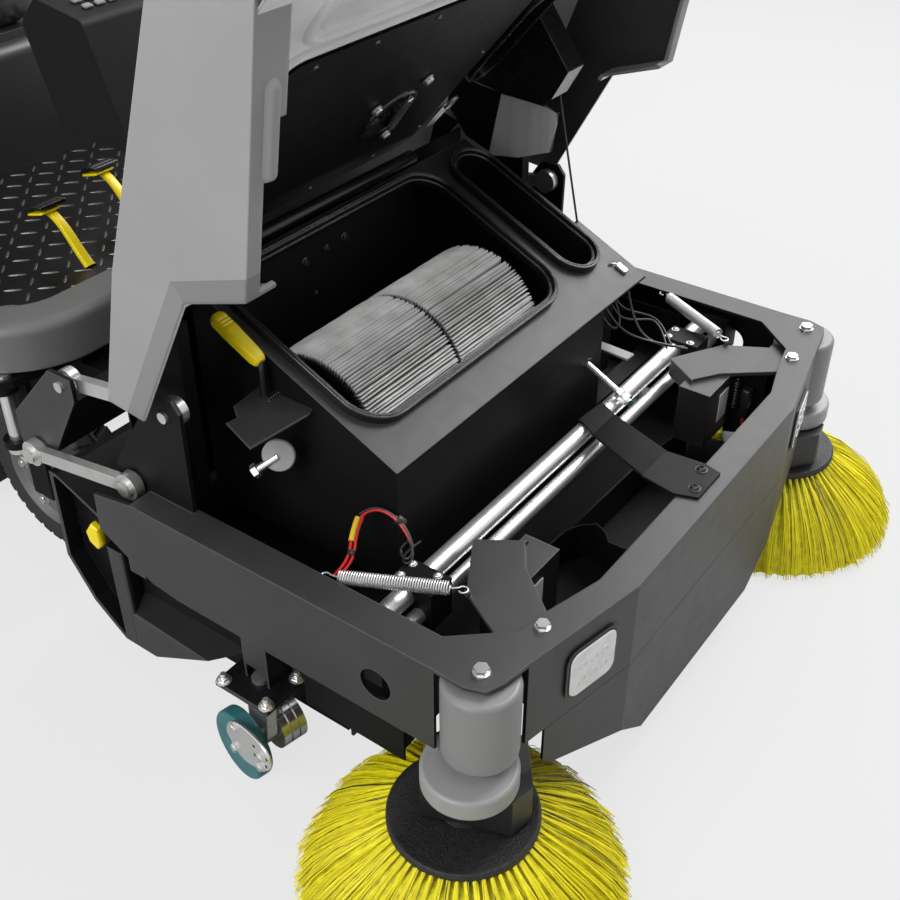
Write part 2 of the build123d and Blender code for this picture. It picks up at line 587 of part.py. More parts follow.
def filter_cradle():
    """Two upright plates under the cartridge's ends, standing on the housing's floor."""
    low = HOUSING_LOW + HOUSING_WALL
    plates = []
    for x in (CARTRIDGE_X0 + 20, CARTRIDGE_X1 - 26):
        plate = box(x, x + 6, CART_Y - 80, CART_Y + 80, low, CART_Z)
        plates.append(plate - cyl_x(PLEAT_R + SEAT, x - 1, x + 7, CART_Y, CART_Z))
    return apart(*plates)


def lock_lever():
    """Side tab of the housing with the lid's locking lever and its yellow grip."""
    x = -HOUSING_HALF
    z = HOUSING_EDGE_Z + 54
    y = HOUSING_FRONT + 170
    tab = prism_z([(x, y), (x, y + 115), (x - 70, y + 109), (x - 90, y + 81), (x - 112, y + 84), (x - 139, y + 6),
                   (x - 16, y - 6)], z, z + 4)
    arm = box(x - 22, x - 14, y + 76, y + 94, z + 4, z + 70)
    grip = prism_x([(y + 90, z + 60), (y + 78, z + 66), (y + 78, z + 84), (y + 152, z + 140), (y + 166, z + 138),
                    (y + 182, z + 118), (y + 176, z + 106)], x - 32, x - 6)
    return tab + arm + grip


# ---------- sweeping roller, tunnel and hopper ----------
SWEEP_Z = SWEEP_R + BRISTLE_CLEAR


def sweep_tunnel():
    """Cheeks and roof over the sweeping roller, hung from the cross beams."""
    cheek = box(TUNNEL_HALF - 6, TUNNEL_HALF, TUNNEL_FRONT, TUNNEL_REAR, 25, WEB_LOW)
    roof = box(6 - TUNNEL_HALF, TUNNEL_HALF - 6, TUNNEL_FRONT, TUNNEL_REAR, WEB_LOW - 6, WEB_LOW)
    lug = box(6 - TUNNEL_HALF, TUNNEL_HALF - 6, BEAM_1_Y + 6, TUNNEL_FRONT, WEB_LOW - 6, WEB_LOW)
    tail = box(6 - TUNNEL_HALF, TUNNEL_HALF - 6, TUNNEL_REAR - 1, BEAM_2_Y + 8, WEB_LOW - 6, WEB_LOW)
    boss = cyl_x(30, TUNNEL_HALF - 22, TUNNEL_HALF - 6, SWEEP_Y, SWEEP_Z)
    stub = cyl_x(14, SWEEP_HALF - 20, TUNNEL_HALF - 6, SWEEP_Y, SWEEP_Z)
    y1 = BEAM_1_Y + 10
    pan = prism_x([(PAN_FRONT, PAN_Z + 36), (PAN_FRONT, PAN_Z + 32), (y1 - 10, PAN_Z), (y1, PAN_Z), (y1, WEB_LOW - 5),
                   (y1 - 4, WEB_LOW - 5), (y1 - 4, PAN_Z + 4), (y1 - 10, PAN_Z + 4)], -PAN_HALF, PAN_HALF)
    hem = TUNNEL_FRONT - 8
    wing = box(PAN_HALF - 1, SKIRT_X - 3, SKIRT_Y, y1, PAN_Z, PAN_Z + 4)
    skirt = box(SKIRT_X - 4, SKIRT_X, SKIRT_Y, hem, SKIRT_LOW, WEB_LOW)
    hanger = box(TUNNEL_HALF - 10, SKIRT_X - 3, BEAM_1_Y + 6, hem, WEB_LOW - 6, WEB_LOW)
    return both(cheek + boss + stub + wing + skirt + hanger) + roof + lug + tail + pan


def tunnel_flap():
    """Rubber strip hanging from the tunnel's front edge."""
    return box(6 - TUNNEL_HALF, TUNNEL_HALF - 6, TUNNEL_FRONT - 6, TUNNEL_FRONT, 8, WEB_LOW - 6)


def sweep_roller():
    hull = cyl_x(SWEEP_R, -SWEEP_HALF, SWEEP_HALF, SWEEP_Y, SWEEP_Z)
    hole = cyl_x(14 + RUN, SWEEP_HALF - 24, SWEEP_HALF + 1, SWEEP_Y, SWEEP_Z)
    return hull - hole - twin(hole)


def hopper():
    """Faceted bin behind the sweeping roller, open at its front. Its sides stand back inside a rim and a post, and
    guards run on ahead of them."""
    front = BEAM_2_Y + BEAM + 4
    wall = HOPPER_WALL
    low = 70
    lip = WEB_LOW + 20
    side = HOPPER_HALF - HOPPER_RECESS
    tip = WEB_LOW + 116
    outline = [(front, lip), (front + 60, lip + 40), (front + 190, tip), (front + 208, tip),
               (front + 214, low + 148), (front + 158, low + 59), (front + 84, low), (front, low)]
    inner = [(front - 5, lip - wall), (front + 60, lip + 40 - wall), (front + 190, tip - wall),
             (front + 204, tip - wall), (front + 210, low + 150), (front + 156, low + 59 + wall),
             (front + 82, low + wall), (front - 5, low + wall)]
    hollow = [(front - 5, lip - HOPPER_RIM), (front + 60, lip + 40 - HOPPER_RIM), (front + 186, tip - HOPPER_RIM),
              (front + 199, tip - HOPPER_RIM), (front + 204, low + 152), (front + 151, low + 60 + HOPPER_RIM),
              (front + 80, low + HOPPER_RIM), (front - 5, low + HOPPER_RIM)]
    bin_ = prism_x(outline, -side, side) - prism_x(inner, wall - side, side - wall)
    rim = prism_x(outline, side - 1, HOPPER_HALF) - prism_x(hollow, side - 2, HOPPER_HALF + 1)
    post = fillet(box(side, HOPPER_HALF, front + 42, front + 88, low + 6, WEB_LOW).edges().filter_by(Axis.Z), 9)
    guard = [(512, low + 118), (500, WEB_LOW - 2), (front + 46, WEB_LOW - 2), (front + 46, low), (front, low)]
    plate = prism_x(guard, side - wall, side)
    ramp = prism_y([(side - 1, 192), (HOPPER_HALF, 150), (HOPPER_HALF, low), (side - 1, low)], 512, front + 46)
    ramp = ramp & prism_x(guard, 0, HOPPER_HALF)
    stay = box(TUNNEL_HALF, side - 1, 515, 535, low + 130, low + 160)
    hanger = box(side - wall, HOPPER_HALF, 700, 724, WEB_LOW - 4, WEB_LOW)
    return bin_ + both(rim + post + plate + ramp + stay + hanger)


# ---------- castors (drawn on the left, +X) ----------
def castor_fork():
    """Swivel head with one leg between the tyre and the ring pack, and their axle."""
    top = CASTOR_PLATE_Z - SEAT
    crown = cyl_z(40, top - 14, top, CASTOR_X, CASTOR_Y)
    stem = cyl_z(15, top - 2, top + 18, CASTOR_X, CASTOR_Y)
    y = CASTOR_Y + CASTOR_TRAIL
    leg = prism_x([(CASTOR_Y - 30, top - 10), (CASTOR_Y + 34, top - 10), (y + 24, CASTOR_R + 8),
                   (y + 14, CASTOR_R - 22), (y - 14, CASTOR_R - 22), (y - 30, CASTOR_R + 8)],
                  CASTOR_X - 8, CASTOR_X + 12)
    axle = cyl_x(CASTOR_AXLE_R, CASTOR_X - 66, CASTOR_X + CASTOR_OUT + CASTOR_W / 2 + 8, y, CASTOR_R)
    return about(CASTOR_X, CASTOR_Y, CASTOR_TURN, crown + stem + leg + axle)


def castor_wheel():
    """Outer tyre and the three inner rings, which turn together on the axle."""
    y = CASTOR_Y + CASTOR_TRAIL
    mid = CASTOR_X + CASTOR_OUT
    tyre = fillet(cyl_x(CASTOR_R, mid - CASTOR_W / 2, mid + CASTOR_W / 2, y, CASTOR_R).edges(), 7)
    rings = cyl_x(CASTOR_R - 22, CASTOR_X - 62, CASTOR_X - 13, y, CASTOR_R)
    for x in (CASTOR_X - 48, CASTOR_X - 31):
        rings -= cyl_x(CASTOR_R, x, x + 3, y, CASTOR_R) - cyl_x(CASTOR_R - 28, x, x + 3, y, CASTOR_R)
    bore = cyl_x(CASTOR_AXLE_R + RUN, CASTOR_X - 100, CASTOR_X + 100, y, CASTOR_R)
    return about(CASTOR_X, CASTOR_Y, CASTOR_TURN, apart(tyre - bore, rings - bore))


# ---------- link arms ----------
def link_arm(x, y, z):
    """One forged link with an eye at each end, from a front pivot down to the rear one."""
    ends = [(y, z), (y + LINK_DY, z + LINK_DZ)]
    tilt = degrees(atan2(LINK_DZ, LINK_DY))
    length = hypot(LINK_DY, LINK_DZ)
    bar = Pos(x + EYE_T / 2, y + LINK_DY / 2, z + LINK_DZ / 2) * Rot(tilt, 0, 0) * Box(EYE_T - 2, length - 2 * EYE_R + 6, 26)
    body = bar
    for ey, ez in ends:
        body += cyl_x(EYE_R, x, x + EYE_T, ey, ez)
    return body


def link_arms():
    """Upper links inside the bracket plates and lower ones outside them, with their bolts."""
    gap = 5
    upper = link_arm(LINK_PLATE_X - gap - EYE_T, LINK_UP_Y, LINK_UP_Z)
    lower = link_arm(LINK_PLATE_X + LINK_PLATE_T + gap, LINK_LOW_Y, LINK_LOW_Z)
    for y, z in ((LINK_UP_Y, LINK_UP_Z), (LINK_UP_Y + LINK_DY, LINK_UP_Z + LINK_DZ)):
        upper += cyl_x(LINK_BOLT_R, LINK_PLATE_X - gap, LINK_PLATE_X + LINK_PLATE_T + 6, y, z)
        upper += cyl_x(LINK_BOLT_R + 7, LINK_PLATE_X - gap, LINK_PLATE_X, y, z)
    for y, z in ((LINK_LOW_Y, LINK_LOW_Z), (LINK_LOW_Y + LINK_DY, LINK_LOW_Z + LINK_DZ)):
        lower += cyl_x(LINK_BOLT_R, LINK_PLATE_X - 6, LINK_PLATE_X + LINK_PLATE_T + gap, y, z)
        lower += cyl_x(LINK_BOLT_R + 7, LINK_PLATE_X + LINK_PLATE_T, LINK_PLATE_X + LINK_PLATE_T + gap, y, z)
        outer = LINK_PLATE_X + LINK_PLATE_T + gap + EYE_T
        lower += cyl_x(LINK_BOLT_R + 5, outer, outer + 9, y, z)
    return apart(upper, lower, twin(upper), twin(lower))


# ---------- hood, drawn shut and then opened about its hinge ----------
def opened(shape):
    """Turns a piece from the shut hood's place to the stored open pose."""
    return Pos(0, HINGE_Y, HINGE_Z) * Rot(-HOOD_OPEN, 0, 0) * Pos(0, -HINGE_Y, -HINGE_Z) * shape


hood_side = [
    (HOOD_FRONT, HOOD_LOW + 52), (84, HOOD_LOW + 36), (484, HOOD_LOW - 8), (556, HOOD_LOW + 98), (838, 651),
    (852, HOOD_SHOULDER_Z),
    (862, HOOD_TOP_Z), (HINGE_Y, HOOD_TOP_Z), (HOUSING_FRONT, HOOD_TOP_Z - 80), (-20, HOOD_TOP_Z - 175),
    (HOOD_FRONT + 8, HOOD_TOP_Z - 235),
]


def hood_section(low, z, inset):
    """The hood's cross-section in X and Z: upright wings, slanted shoulders and the flat top."""
    half = HOOD_HALF - inset
    drop = 0.4 * inset
    return [(half, low), (half, z - drop), (HOOD_SHOULDER_X - drop, HOOD_TOP_Z - inset),
            (drop - HOOD_SHOULDER_X, HOOD_TOP_Z - inset), (-half, z - drop), (-half, low)]


def hood_body(inset):
    """The section run along the hood, its shoulder line falling towards the front."""
    rear = prism_y(hood_section(HOOD_LOW - 80, HOOD_SHOULDER_Z, inset), HOOD_BREAK, 900)
    face = make_face(Polyline(*[(x, HOOD_BREAK, z) for x, z in hood_section(HOOD_LOW - 80, HOOD_SHOULDER_Z, inset)],
                              close=True))
    reach = HOOD_BREAK - HOOD_FRONT + 10
    front = extrude(face, hypot(reach, HOOD_FALL * reach), dir=(0, -reach, -HOOD_FALL * reach))
    return rear + front


def hood_solid():
    return prism_x(hood_side, -HOOD_HALF - 1, HOOD_HALF + 1) & hood_body(0)


def hood_inside():
    w = HOOD_WALL
    side = [
        (HOOD_FRONT + w, HOOD_LOW - 60), (900, HOOD_LOW - 60), (900, HOOD_TOP_Z - w), (HINGE_Y, HOOD_TOP_Z - w),
        (HOUSING_FRONT, HOOD_TOP_Z - 80 - w), (-20 + 0.5 * w, HOOD_TOP_Z - 175 - w),
        (HOOD_FRONT + 8 + w, HOOD_TOP_Z - 235 - 0.5 * w),
    ]
    return prism_x(side, 1 - HOOD_HALF, HOOD_HALF - 1) & hood_body(w)


def hood_rim():
    """Turned-in lower edge of a wing, broad at the front, where an inner wall closes it (drawn on the left)."""
    outline = prism_x(hood_side, HOOD_HALF - RIM_W, HOOD_HALF - 1)
    edge = outline - (Pos(0, 0, 8) * outline & Pos(0, -6, 0) * outline)
    front = edge & box(0, HOOD_HALF, HOOD_FRONT - 1, RIM_BREAK, 0, 900)
    rear = edge & box(HOOD_HALF - 26, HOOD_HALF, RIM_BREAK - 1, 560, 0, 900)
    wall = prism_x(hood_side, HOOD_HALF - RIM_W - 4, HOOD_HALF - RIM_W + 1)
    wall = wall & box(0, HOOD_HALF, HOOD_FRONT - 1, RIM_BREAK, 0, 900)
    corner = edge & box(HOOD_HALF - RIM_W, HOOD_HALF, 478, 566, 0, 900)
    return (front + rear + corner + wall) & hood_body(0)


def hood_liner():
    """Inner skin ahead of the lid, level with it, and its riser to the outer skin."""
    x0, x1 = 2 - HOOD_HALF, LID_X1
    skin = on_slope(box(x0, x1, -260, -46, LID_GAP, LID_GAP + LID_T))
    riser = on_slope(box(x0, x1, -264, -260, LID_GAP, 400))
    return (skin + riser) & hood_inside()


def hood_hinge_cover():
    """Upright panel inside the far wing that hides the hinge post when the hood stands open."""
    panel = [(614, 610), (641, 606), (699, 599), (707, 610), (748, 664), (774, 720), (778, 732), (640, 742),
             (634, 722), (616, 644)]
    strut = [(640, 734), (776, 726), (770, 800), (700, 900), (658, 900), (652, 800)]
    return (prism_x(panel, 436, 446) + prism_x(strut, 441, 446)) & hood_inside()


def hood_shell():
    """Moulded tray with turned-in wing edges, a liner ahead of the lid and a cover beside the far hinge."""
    shell = hood_solid() - hood_inside()
    return opened(shell + both(hood_rim()) + hood_liner() + hood_hinge_cover())


def lid_line(y, rise):
    """Height of a line parallel to the shut top plate, a given distance above it."""
    return slope_z(y) + rise / cos(radians(SLOPE))


def filter_lid():
    """Flat steel lid that shuts on both seals, notched for the lever, on two ribs under the hood's skin."""
    y0, y1 = HOUSING_FRONT - 34, HINGE_Y - 8
    low, high = LID_GAP, LID_GAP + LID_T
    panel = prism_x([(y0, lid_line(y0, low)), (y1, lid_line(y1, low)), (y1, lid_line(y1, high)),
                     (y0, lid_line(y0, high))], LID_X0, LID_X1)
    cut = prism_z([(LID_X0 - 1, y0 - 40), (LID_X0 + 70, y0 - 40), (LID_X0 - 1, y0 + 36)], 500, 900)
    notch = box(LID_X0 - 1, 10 - HOUSING_HALF, HOUSING_FRONT + 225, HOUSING_FRONT + 375, 500, 900)
    panel -= cut + notch
    for x in (LID_X0 + 60, LID_X1 - 40):
        rib = prism_x([(y0 + 50, lid_line(y0 + 50, high)), (y1 - 10, lid_line(y1 - 10, high)), (y1 - 10, 900),
                       (y0 + 50, 900)], x, x + 5)
        panel += rib & hood_inside()
    return opened(panel)


def fan_unit():
    """Suction duct with its oval collar beside the lid, and the fan's cover outboard of it."""
    y0, y1 = HOUSING_FRONT + 62, HOUSING_REAR - 145
    low = LID_GAP + 14
    x0 = LID_X1 + 12
    x1 = HOUSING_HALF + 8
    body = prism_x([(y0, lid_line(y0, low)), (y1, lid_line(y1, low)), (y1, 900), (y0, 900)], x0, x1)
    cover = prism_x([(y0, 900), (HINGE_Y - 96, 900), (HINGE_Y - 116, 722), (HINGE_Y - 134, 644), (HINGE_Y - 158, 621),
                     (HINGE_Y - 226, 604), (HINGE_Y - 309, 714), (y0, 790)], x1 - 1, x1 + 58)
    body = (body + cover) & hood_inside()
    mouth = box(OVAL_X - OVAL_HALF_W, OVAL_X + OVAL_HALF_W, 70, 322, LID_GAP - 6, low + 2)
    mouth = fillet(mouth.edges().filter_by(Axis.Z), OVAL_HALF_W - 2)
    hole = box(OVAL_X - OVAL_HALF_W + 9, OVAL_X + OVAL_HALF_W - 9, 79, 313, LID_GAP - 7, low + 40)
    hole = fillet(hole.edges().filter_by(Axis.Z), OVAL_HALF_W - 11)
    return opened(body + on_slope(mouth) - on_slope(hole))


def hinge_knuckles():
    """Arms from the hood's skin to the hinge tubes on the towers."""
    arm = prism_x([(HINGE_Y - 26, HINGE_Z - 20), (HINGE_Y + 18, HINGE_Z - 20), (HINGE_Y + 40, 900),
                   (HINGE_Y - 60, 900)], 470, 482)
    arm += cyl_x(20, 470, 482, HINGE_Y, HINGE_Z)
    arm = arm & hood_inside()
    arm -= cyl_x(9 + RUN, 460, 490, HINGE_Y, HINGE_Z)
    return opened(both(arm))


def hinge_towers():
    """Posts beside the housing's rear, each with the hinge pin through its ear."""
    low = FRAME_TOP - 30
    tower = box(486, 512, HINGE_Y - 100, HINGE_Y - 24, low, HINGE_Z - 10)
    ear = prism_x([(HINGE_Y - 60, HINGE_Z - 70), (HINGE_Y + 12, HINGE_Z - 16), (HINGE_Y + 12, HINGE_Z + 14),
                   (HINGE_Y - 12, HINGE_Z + 14), (HINGE_Y - 60, HINGE_Z - 12)], 486, 500)
    pin = cyl_x(9, 462, 486, HINGE_Y, HINGE_Z)
    cap = cyl_x(13, 459, 466, HINGE_Y, HINGE_Z)
    foot = box(486, FRAME_HALF - FLANGE, HINGE_Y - 100, HINGE_Y - 50, low, low + 30)
    return tower + ear + pin + cap + foot


def bulkhead():
    """Upright sheet behind the filter housing, stepped in at the link arms and at the hood, tabbed to the towers."""
    y0, y1 = HINGE_Y + 22, HINGE_Y + 26
    sheet = box(-536, 536, y0, y1, 360, 600) + box(-478, 478, y0, y1, 599, 680) + box(-428, 428, y0, y1, 679, HINGE_Z - 6)
    tab = box(488, 500, HINGE_Y - 24, y0 + 1, 540, 596)
    return sheet + both(tab)


# ---------- chassis ----------
def chassis_frame():
    beam = box(BEAM_X, BEAM_X + BEAM_W, CHASSIS_FRONT, CHASSIS_REAR, BEAM_LOW, BEAM_HIGH)
    reach = LINK_PLATE_X
    upright = [
        (LINK_UP_Y + LINK_DY - 30, LINK_UP_Z + LINK_DZ + 22), (LINK_UP_Y + LINK_DY - 30, LINK_UP_Z + LINK_DZ - 22),
        (LINK_LOW_Y + LINK_DY - 20, LINK_LOW_Z + LINK_DZ - 30), (CHASSIS_FRONT + 40, LINK_LOW_Z + LINK_DZ - 40),
        (CHASSIS_FRONT + 40, BEAM_HIGH + 60), (LINK_UP_Y + LINK_DY + 28, LINK_UP_Z + LINK_DZ + 22),
    ]
    plate = prism_x(upright, LINK_PLATE_X, LINK_PLATE_X + LINK_PLATE_T)
    for y, z in ((LINK_UP_Y + LINK_DY, LINK_UP_Z + LINK_DZ), (LINK_LOW_Y + LINK_DY, LINK_LOW_Z + LINK_DZ)):
        plate -= cyl_x(LINK_BOLT_R, LINK_PLATE_X - 1, LINK_PLATE_X + LINK_PLATE_T + 1, y, z)
    ear = prism_z([(BEAM_X, WHEEL_F_Y - 60), (KINGPIN_X, WHEEL_F_Y - 34), (KINGPIN_X + 28, WHEEL_F_Y - 18),
                   (KINGPIN_X + 28, WHEEL_F_Y + 18), (KINGPIN_X, WHEEL_F_Y + 34), (BEAM_X, WHEEL_F_Y + 60)],
                  EAR_Z - 18, EAR_Z)
    ear += box(BEAM_X, BEAM_X + BEAM_W, WHEEL_F_Y - 60, WHEEL_F_Y + 60, BEAM_HIGH, EAR_Z)
    ear -= cyl_z(KINGPIN_R, EAR_Z - 30, EAR_Z + 10, KINGPIN_X, WHEEL_F_Y)
    side = beam + plate + ear
    cross = box(-reach, reach, CHASSIS_FRONT, CHASSIS_FRONT + 40, BEAM_HIGH - 40, BEAM_HIGH + 40)
    cross += box(-BEAM_X, BEAM_X, WHEEL_F_Y - 40, WHEEL_F_Y, BEAM_LOW, BEAM_HIGH)
    cross += box(-BEAM_X, BEAM_X, DECK_REAR - 40, DECK_REAR, BEAM_LOW, BEAM_HIGH)
    cross += box(-BEAM_X, BEAM_X, CHASSIS_REAR - 40, CHASSIS_REAR, BEAM_LOW, BEAM_HIGH)
    for y in (DECK_FRONT + SILL_W + 20, DECK_REAR - 60):
        cross += both(box(BEAM_X, BEAM_X + BEAM_W, y, y + 40, BEAM_HIGH, DECK_Z - DECK_T))
    return side + twin(side) + cross


def kingpins():
    """Bright pins that carry the steered knuckles."""
    top = EAR_Z
    pin = cyl_z(KINGPIN_R, KNUCKLE_LOW - 14, top, KINGPIN_X, WHEEL_F_Y)
    nut = cyl_z(KINGPIN_R + 8, KNUCKLE_LOW - 14, KNUCKLE_LOW - SEAT, KINGPIN_X, WHEEL_F_Y)
    head = cyl_z(KINGPIN_R + 9, top, top + 8, KINGPIN_X, WHEEL_F_Y)
    body = pin + nut + head
    return apart(body, twin(body))


KNUCKLE_TOP = EAR_Z - 18 - SEAT
KNUCKLE_LOW = 300


def knuckle():
    """Steered knuckle: two ears on the kingpin, a web down to the stub axle."""
    ear = cyl_z(28, KNUCKLE_TOP - 16, KNUCKLE_TOP, KINGPIN_X, WHEEL_F_Y)
    low_ear = cyl_z(28, KNUCKLE_LOW, KNUCKLE_LOW + 16, KINGPIN_X, WHEEL_F_Y)
    web_x1 = KINGPIN_X - KINGPIN_R - 11
    web_x0 = web_x1 - 14
    web = box(web_x0, web_x1, WHEEL_F_Y - 30, WHEEL_F_Y + 30, WHEEL_F_R - 34, KNUCKLE_TOP)
    stub = cyl_x(AXLE_R, WHEEL_F_X - WHEEL_F_W / 2 - 12, web_x0, WHEEL_F_Y, WHEEL_F_R)
    cap = cyl_x(AXLE_R + 8, WHEEL_F_X - WHEEL_F_W / 2 - 12, WHEEL_F_X - WHEEL_F_W / 2 - SEAT, WHEEL_F_Y, WHEEL_F_R)
    steer = box(web_x0 - 60, web_x0, WHEEL_F_Y + 10, WHEEL_F_Y + 30, KNUCKLE_TOP - 16, KNUCKLE_TOP)
    body = ear + low_ear + web + stub + cap + steer
    return body - cyl_z(KINGPIN_R + RUN, KNUCKLE_LOW - 5, KNUCKLE_TOP + 5, KINGPIN_X, WHEEL_F_Y)


def tyre_wheel(r, width, x, y, bore):
    """Solid tyre on its rim: a rounded tread, a dished rim face and the bore."""
    h = width / 2
    outline = [(-h, bore), (-h, r * 0.36), (-h + 12, r * 0.42), (-h + 12, r * 0.60), (-h, r * 0.66), (-h, r - 14),
               (-h + 14, r), (h - 14, r), (h, r - 14), (h, r * 0.66), (h - 12, r * 0.60), (h - 12, r * 0.42),
               (h, r * 0.36), (h, bore)]
    return Pos(x, 0, 0) * revolve_x(outline, y, r)


def front_wheel():
    return tyre_wheel(WHEEL_F_R, WHEEL_F_W, WHEEL_F_X, WHEEL_F_Y, AXLE_R + RUN)


def rear_wheel():
    return tyre_wheel(WHEEL_R_R, WHEEL_R_W, WHEEL_R_X, WHEEL_R_Y, AXLE_R + RUN)


def rear_axle():
    """Drive axle: tube, gear case and two pads up to the chassis beams."""
    inner = WHEEL_R_X - WHEEL_R_W / 2 - 16
    tube = cyl_x(34, -inner, inner, WHEEL_R_Y, WHEEL_R_R)
    case = fillet(cyl_x(82, -64, 64, WHEEL_R_Y, WHEEL_R_R).edges(), 30)
    spindle = cyl_x(AXLE_R, -WHEEL_R_X - WHEEL_R_W / 2 - 8, WHEEL_R_X + WHEEL_R_W / 2 + 8, WHEEL_R_Y, WHEEL_R_R)
    x_out = WHEEL_R_X + WHEEL_R_W / 2
    cap = cyl_x(AXLE_R + 12, x_out + SEAT, x_out + 12, WHEEL_R_Y, WHEEL_R_R)
    pad = box(BEAM_X + 4, BEAM_X + BEAM_W - 4, WHEEL_R_Y - 30, WHEEL_R_Y + 30, WHEEL_R_R, BEAM_LOW)
    return tube + case + spindle + both(cap + pad)


def platform_deck():
    """Floor plate of the driver's place, its front corners concentric with the sill's."""
    edge = DECK_HALF - SILL_W
    plate = box(-edge, edge, DECK_FRONT + SILL_W, DECK_REAR, DECK_Z - DECK_T, DECK_Z)
    return fillet(plate.edges().filter_by(Axis.Z).sort_by(Axis.Y)[:2], SILL_R - SILL_W)


def platform_sill():
    """Moulded rim around the floor plate's front and sides, hollow from below."""
    low = SILL_LOW
    wall = 8
    rim = box(-DECK_HALF, DECK_HALF, DECK_FRONT, DECK_REAR, low, DECK_Z + 14)
    rim = fillet(rim.edges().filter_by(Axis.Z).sort_by(Axis.Y)[:2], SILL_R)
    rim = fillet(rim.faces().sort_by(Axis.Z)[-1].edges().filter_by(lambda e: e.center().Y < DECK_REAR - 5), 22)
    edge = DECK_HALF - SILL_W
    hole = box(-edge, edge, DECK_FRONT + SILL_W, DECK_REAR + 300, low - 1, DECK_Z + 20)
    hole = fillet(hole.edges().filter_by(Axis.Z).sort_by(Axis.Y)[:2], SILL_R - SILL_W)
    under = box(wall - DECK_HALF, DECK_HALF - wall, DECK_FRONT + wall, DECK_REAR + 300, low - 1, DECK_Z - 10)
    under = fillet(under.edges().filter_by(Axis.Z).sort_by(Axis.Y)[:2], SILL_R - wall)
    return rim - hole - under


def pedals():
    """Two standing pedals, each an arm that rises out of the floor and bends back under its pad."""
    made = []
    for x, y in ((-190, DECK_FRONT + 150), (12, DECK_FRONT + 218)):
        z = DECK_Z
        arm = prism_x([(y, z), (y + 26, z), (y + 66, z + 52), (y + 130, z + 96), (y + 124, z + 110), (y + 54, z + 72)],
                      x - 13, x + 13)
        pad = prism_x([(y + 84, z + 92), (y + 142, z + 113), (y + 138, z + 125), (y + 80, z + 104)], x - 33, x + 33)
        made.append(arm + pad)
    return apart(*made)


def dash_console():
    """Narrow leg shield with the wider dashboard on its top, ahead of the driver."""
    y = DECK_FRONT
    outline = [(y - 110, DECK_Z + 14), (y + SILL_W - 30, DECK_Z + 14), (y + 60, 860), (y + 130, 1080), (y + 80, 1130),
               (y - 40, 1110), (y - 120, 900)]
    body = fillet(prism_x(outline, -DASH_HALF, DASH_HALF).edges().filter_by(Axis.X), 18)
    low = body & box(-DASH_FOOT, DASH_FOOT, y - 300, y + 300, 0, DASH_WING_Z + 1)
    head = body & box(-DASH_HALF, DASH_HALF, y - 300, y + 300, DASH_WING_Z, 1300)
    under = prism_x([(y - 110, DECK_Z + 34), (y, DECK_Z + 34), (y, DECK_Z - 60), (y - 60, DECK_Z - 60)],
                    -DASH_FOOT, DASH_FOOT)
    return low + head + under


WHEEL_TILT = 32             # steering wheel's plane, from level
STEER_Y = DECK_FRONT + 235
STEER_Z = 1175
STEER_R = 185
COLUMN_L = 190


def on_column(shape):
    """Places a piece drawn about a vertical axis on the tilted steering column, whose top is the wheel's hub."""
    return Pos(0, STEER_Y, STEER_Z) * Rot(-WHEEL_TILT, 0, 0) * shape


def steering_column():
    tube = on_column(Pos(0, 0, -COLUMN_L / 2 - 12) * Cylinder(28, COLUMN_L))
    pin = on_column(Pos(0, 0, -10) * Cylinder(11, 40))
    return (tube + pin) - dash_console()


def steering_wheel():
    rim = Torus(STEER_R - 13, 13)
    hub = Pos(0, 0, 0) * Cylinder(42, 22)
    spokes = Box(2 * STEER_R - 24, 34, 10) + Pos(0, -STEER_R / 2, 0) * Box(34, STEER_R - 12, 10)
    bore = Pos(0, 0, -11) * Cylinder(11 + RUN, 44)
    return on_column(rim + hub + spokes - bore)


def seat_console():
    """Battery box with the seat's plinth, hollow and shut at the top."""
    shell = box(-CONSOLE_HALF, CONSOLE_HALF, DECK_REAR + SEAT, CONSOLE_REAR, CONSOLE_LOW, CONSOLE_TOP)
    shell = fillet(shell.edges().filter_by(Axis.X).sort_by(Axis.Z)[-2:], 30)
    w = CONSOLE_WALL
    shell -= box(w - CONSOLE_HALF, CONSOLE_HALF - w, DECK_REAR + SEAT + w, CONSOLE_REAR - w, CONSOLE_LOW - 1,
                 CONSOLE_TOP - w - 12)
    pan = box(-225, 225, DECK_REAR + 30, CONSOLE_REAR - 16, CONSOLE_TOP, CONSOLE_TOP + 22 - SEAT)
    return shell + pan


def battery():
    """Traction battery as one plain block on the chassis beams."""
    return box(-BEAM_X - BEAM_W, BEAM_X + BEAM_W, DECK_REAR + 30, CONSOLE_REAR - 20, BEAM_HIGH, CONSOLE_TOP - 90)


def seat_cushion():
    pad = box(-240, 240, DECK_REAR + 20, CONSOLE_REAR - 20, CONSOLE_TOP + 22, CONSOLE_TOP + 132)
    return fillet(pad.edges().filter_by(Axis.Y), 30)


def seat_back():
    low = CONSOLE_TOP + 132 + SEAT
    side = [(CONSOLE_REAR - 100, low), (CONSOLE_REAR - 8, low),
            (CONSOLE_REAR + 60, CONSOLE_TOP + 600), (CONSOLE_REAR - 20, CONSOLE_TOP + 610)]
    back = prism_x(side, -225, 225)
    return fillet(back.edges().filter_by(Axis.X), 24)


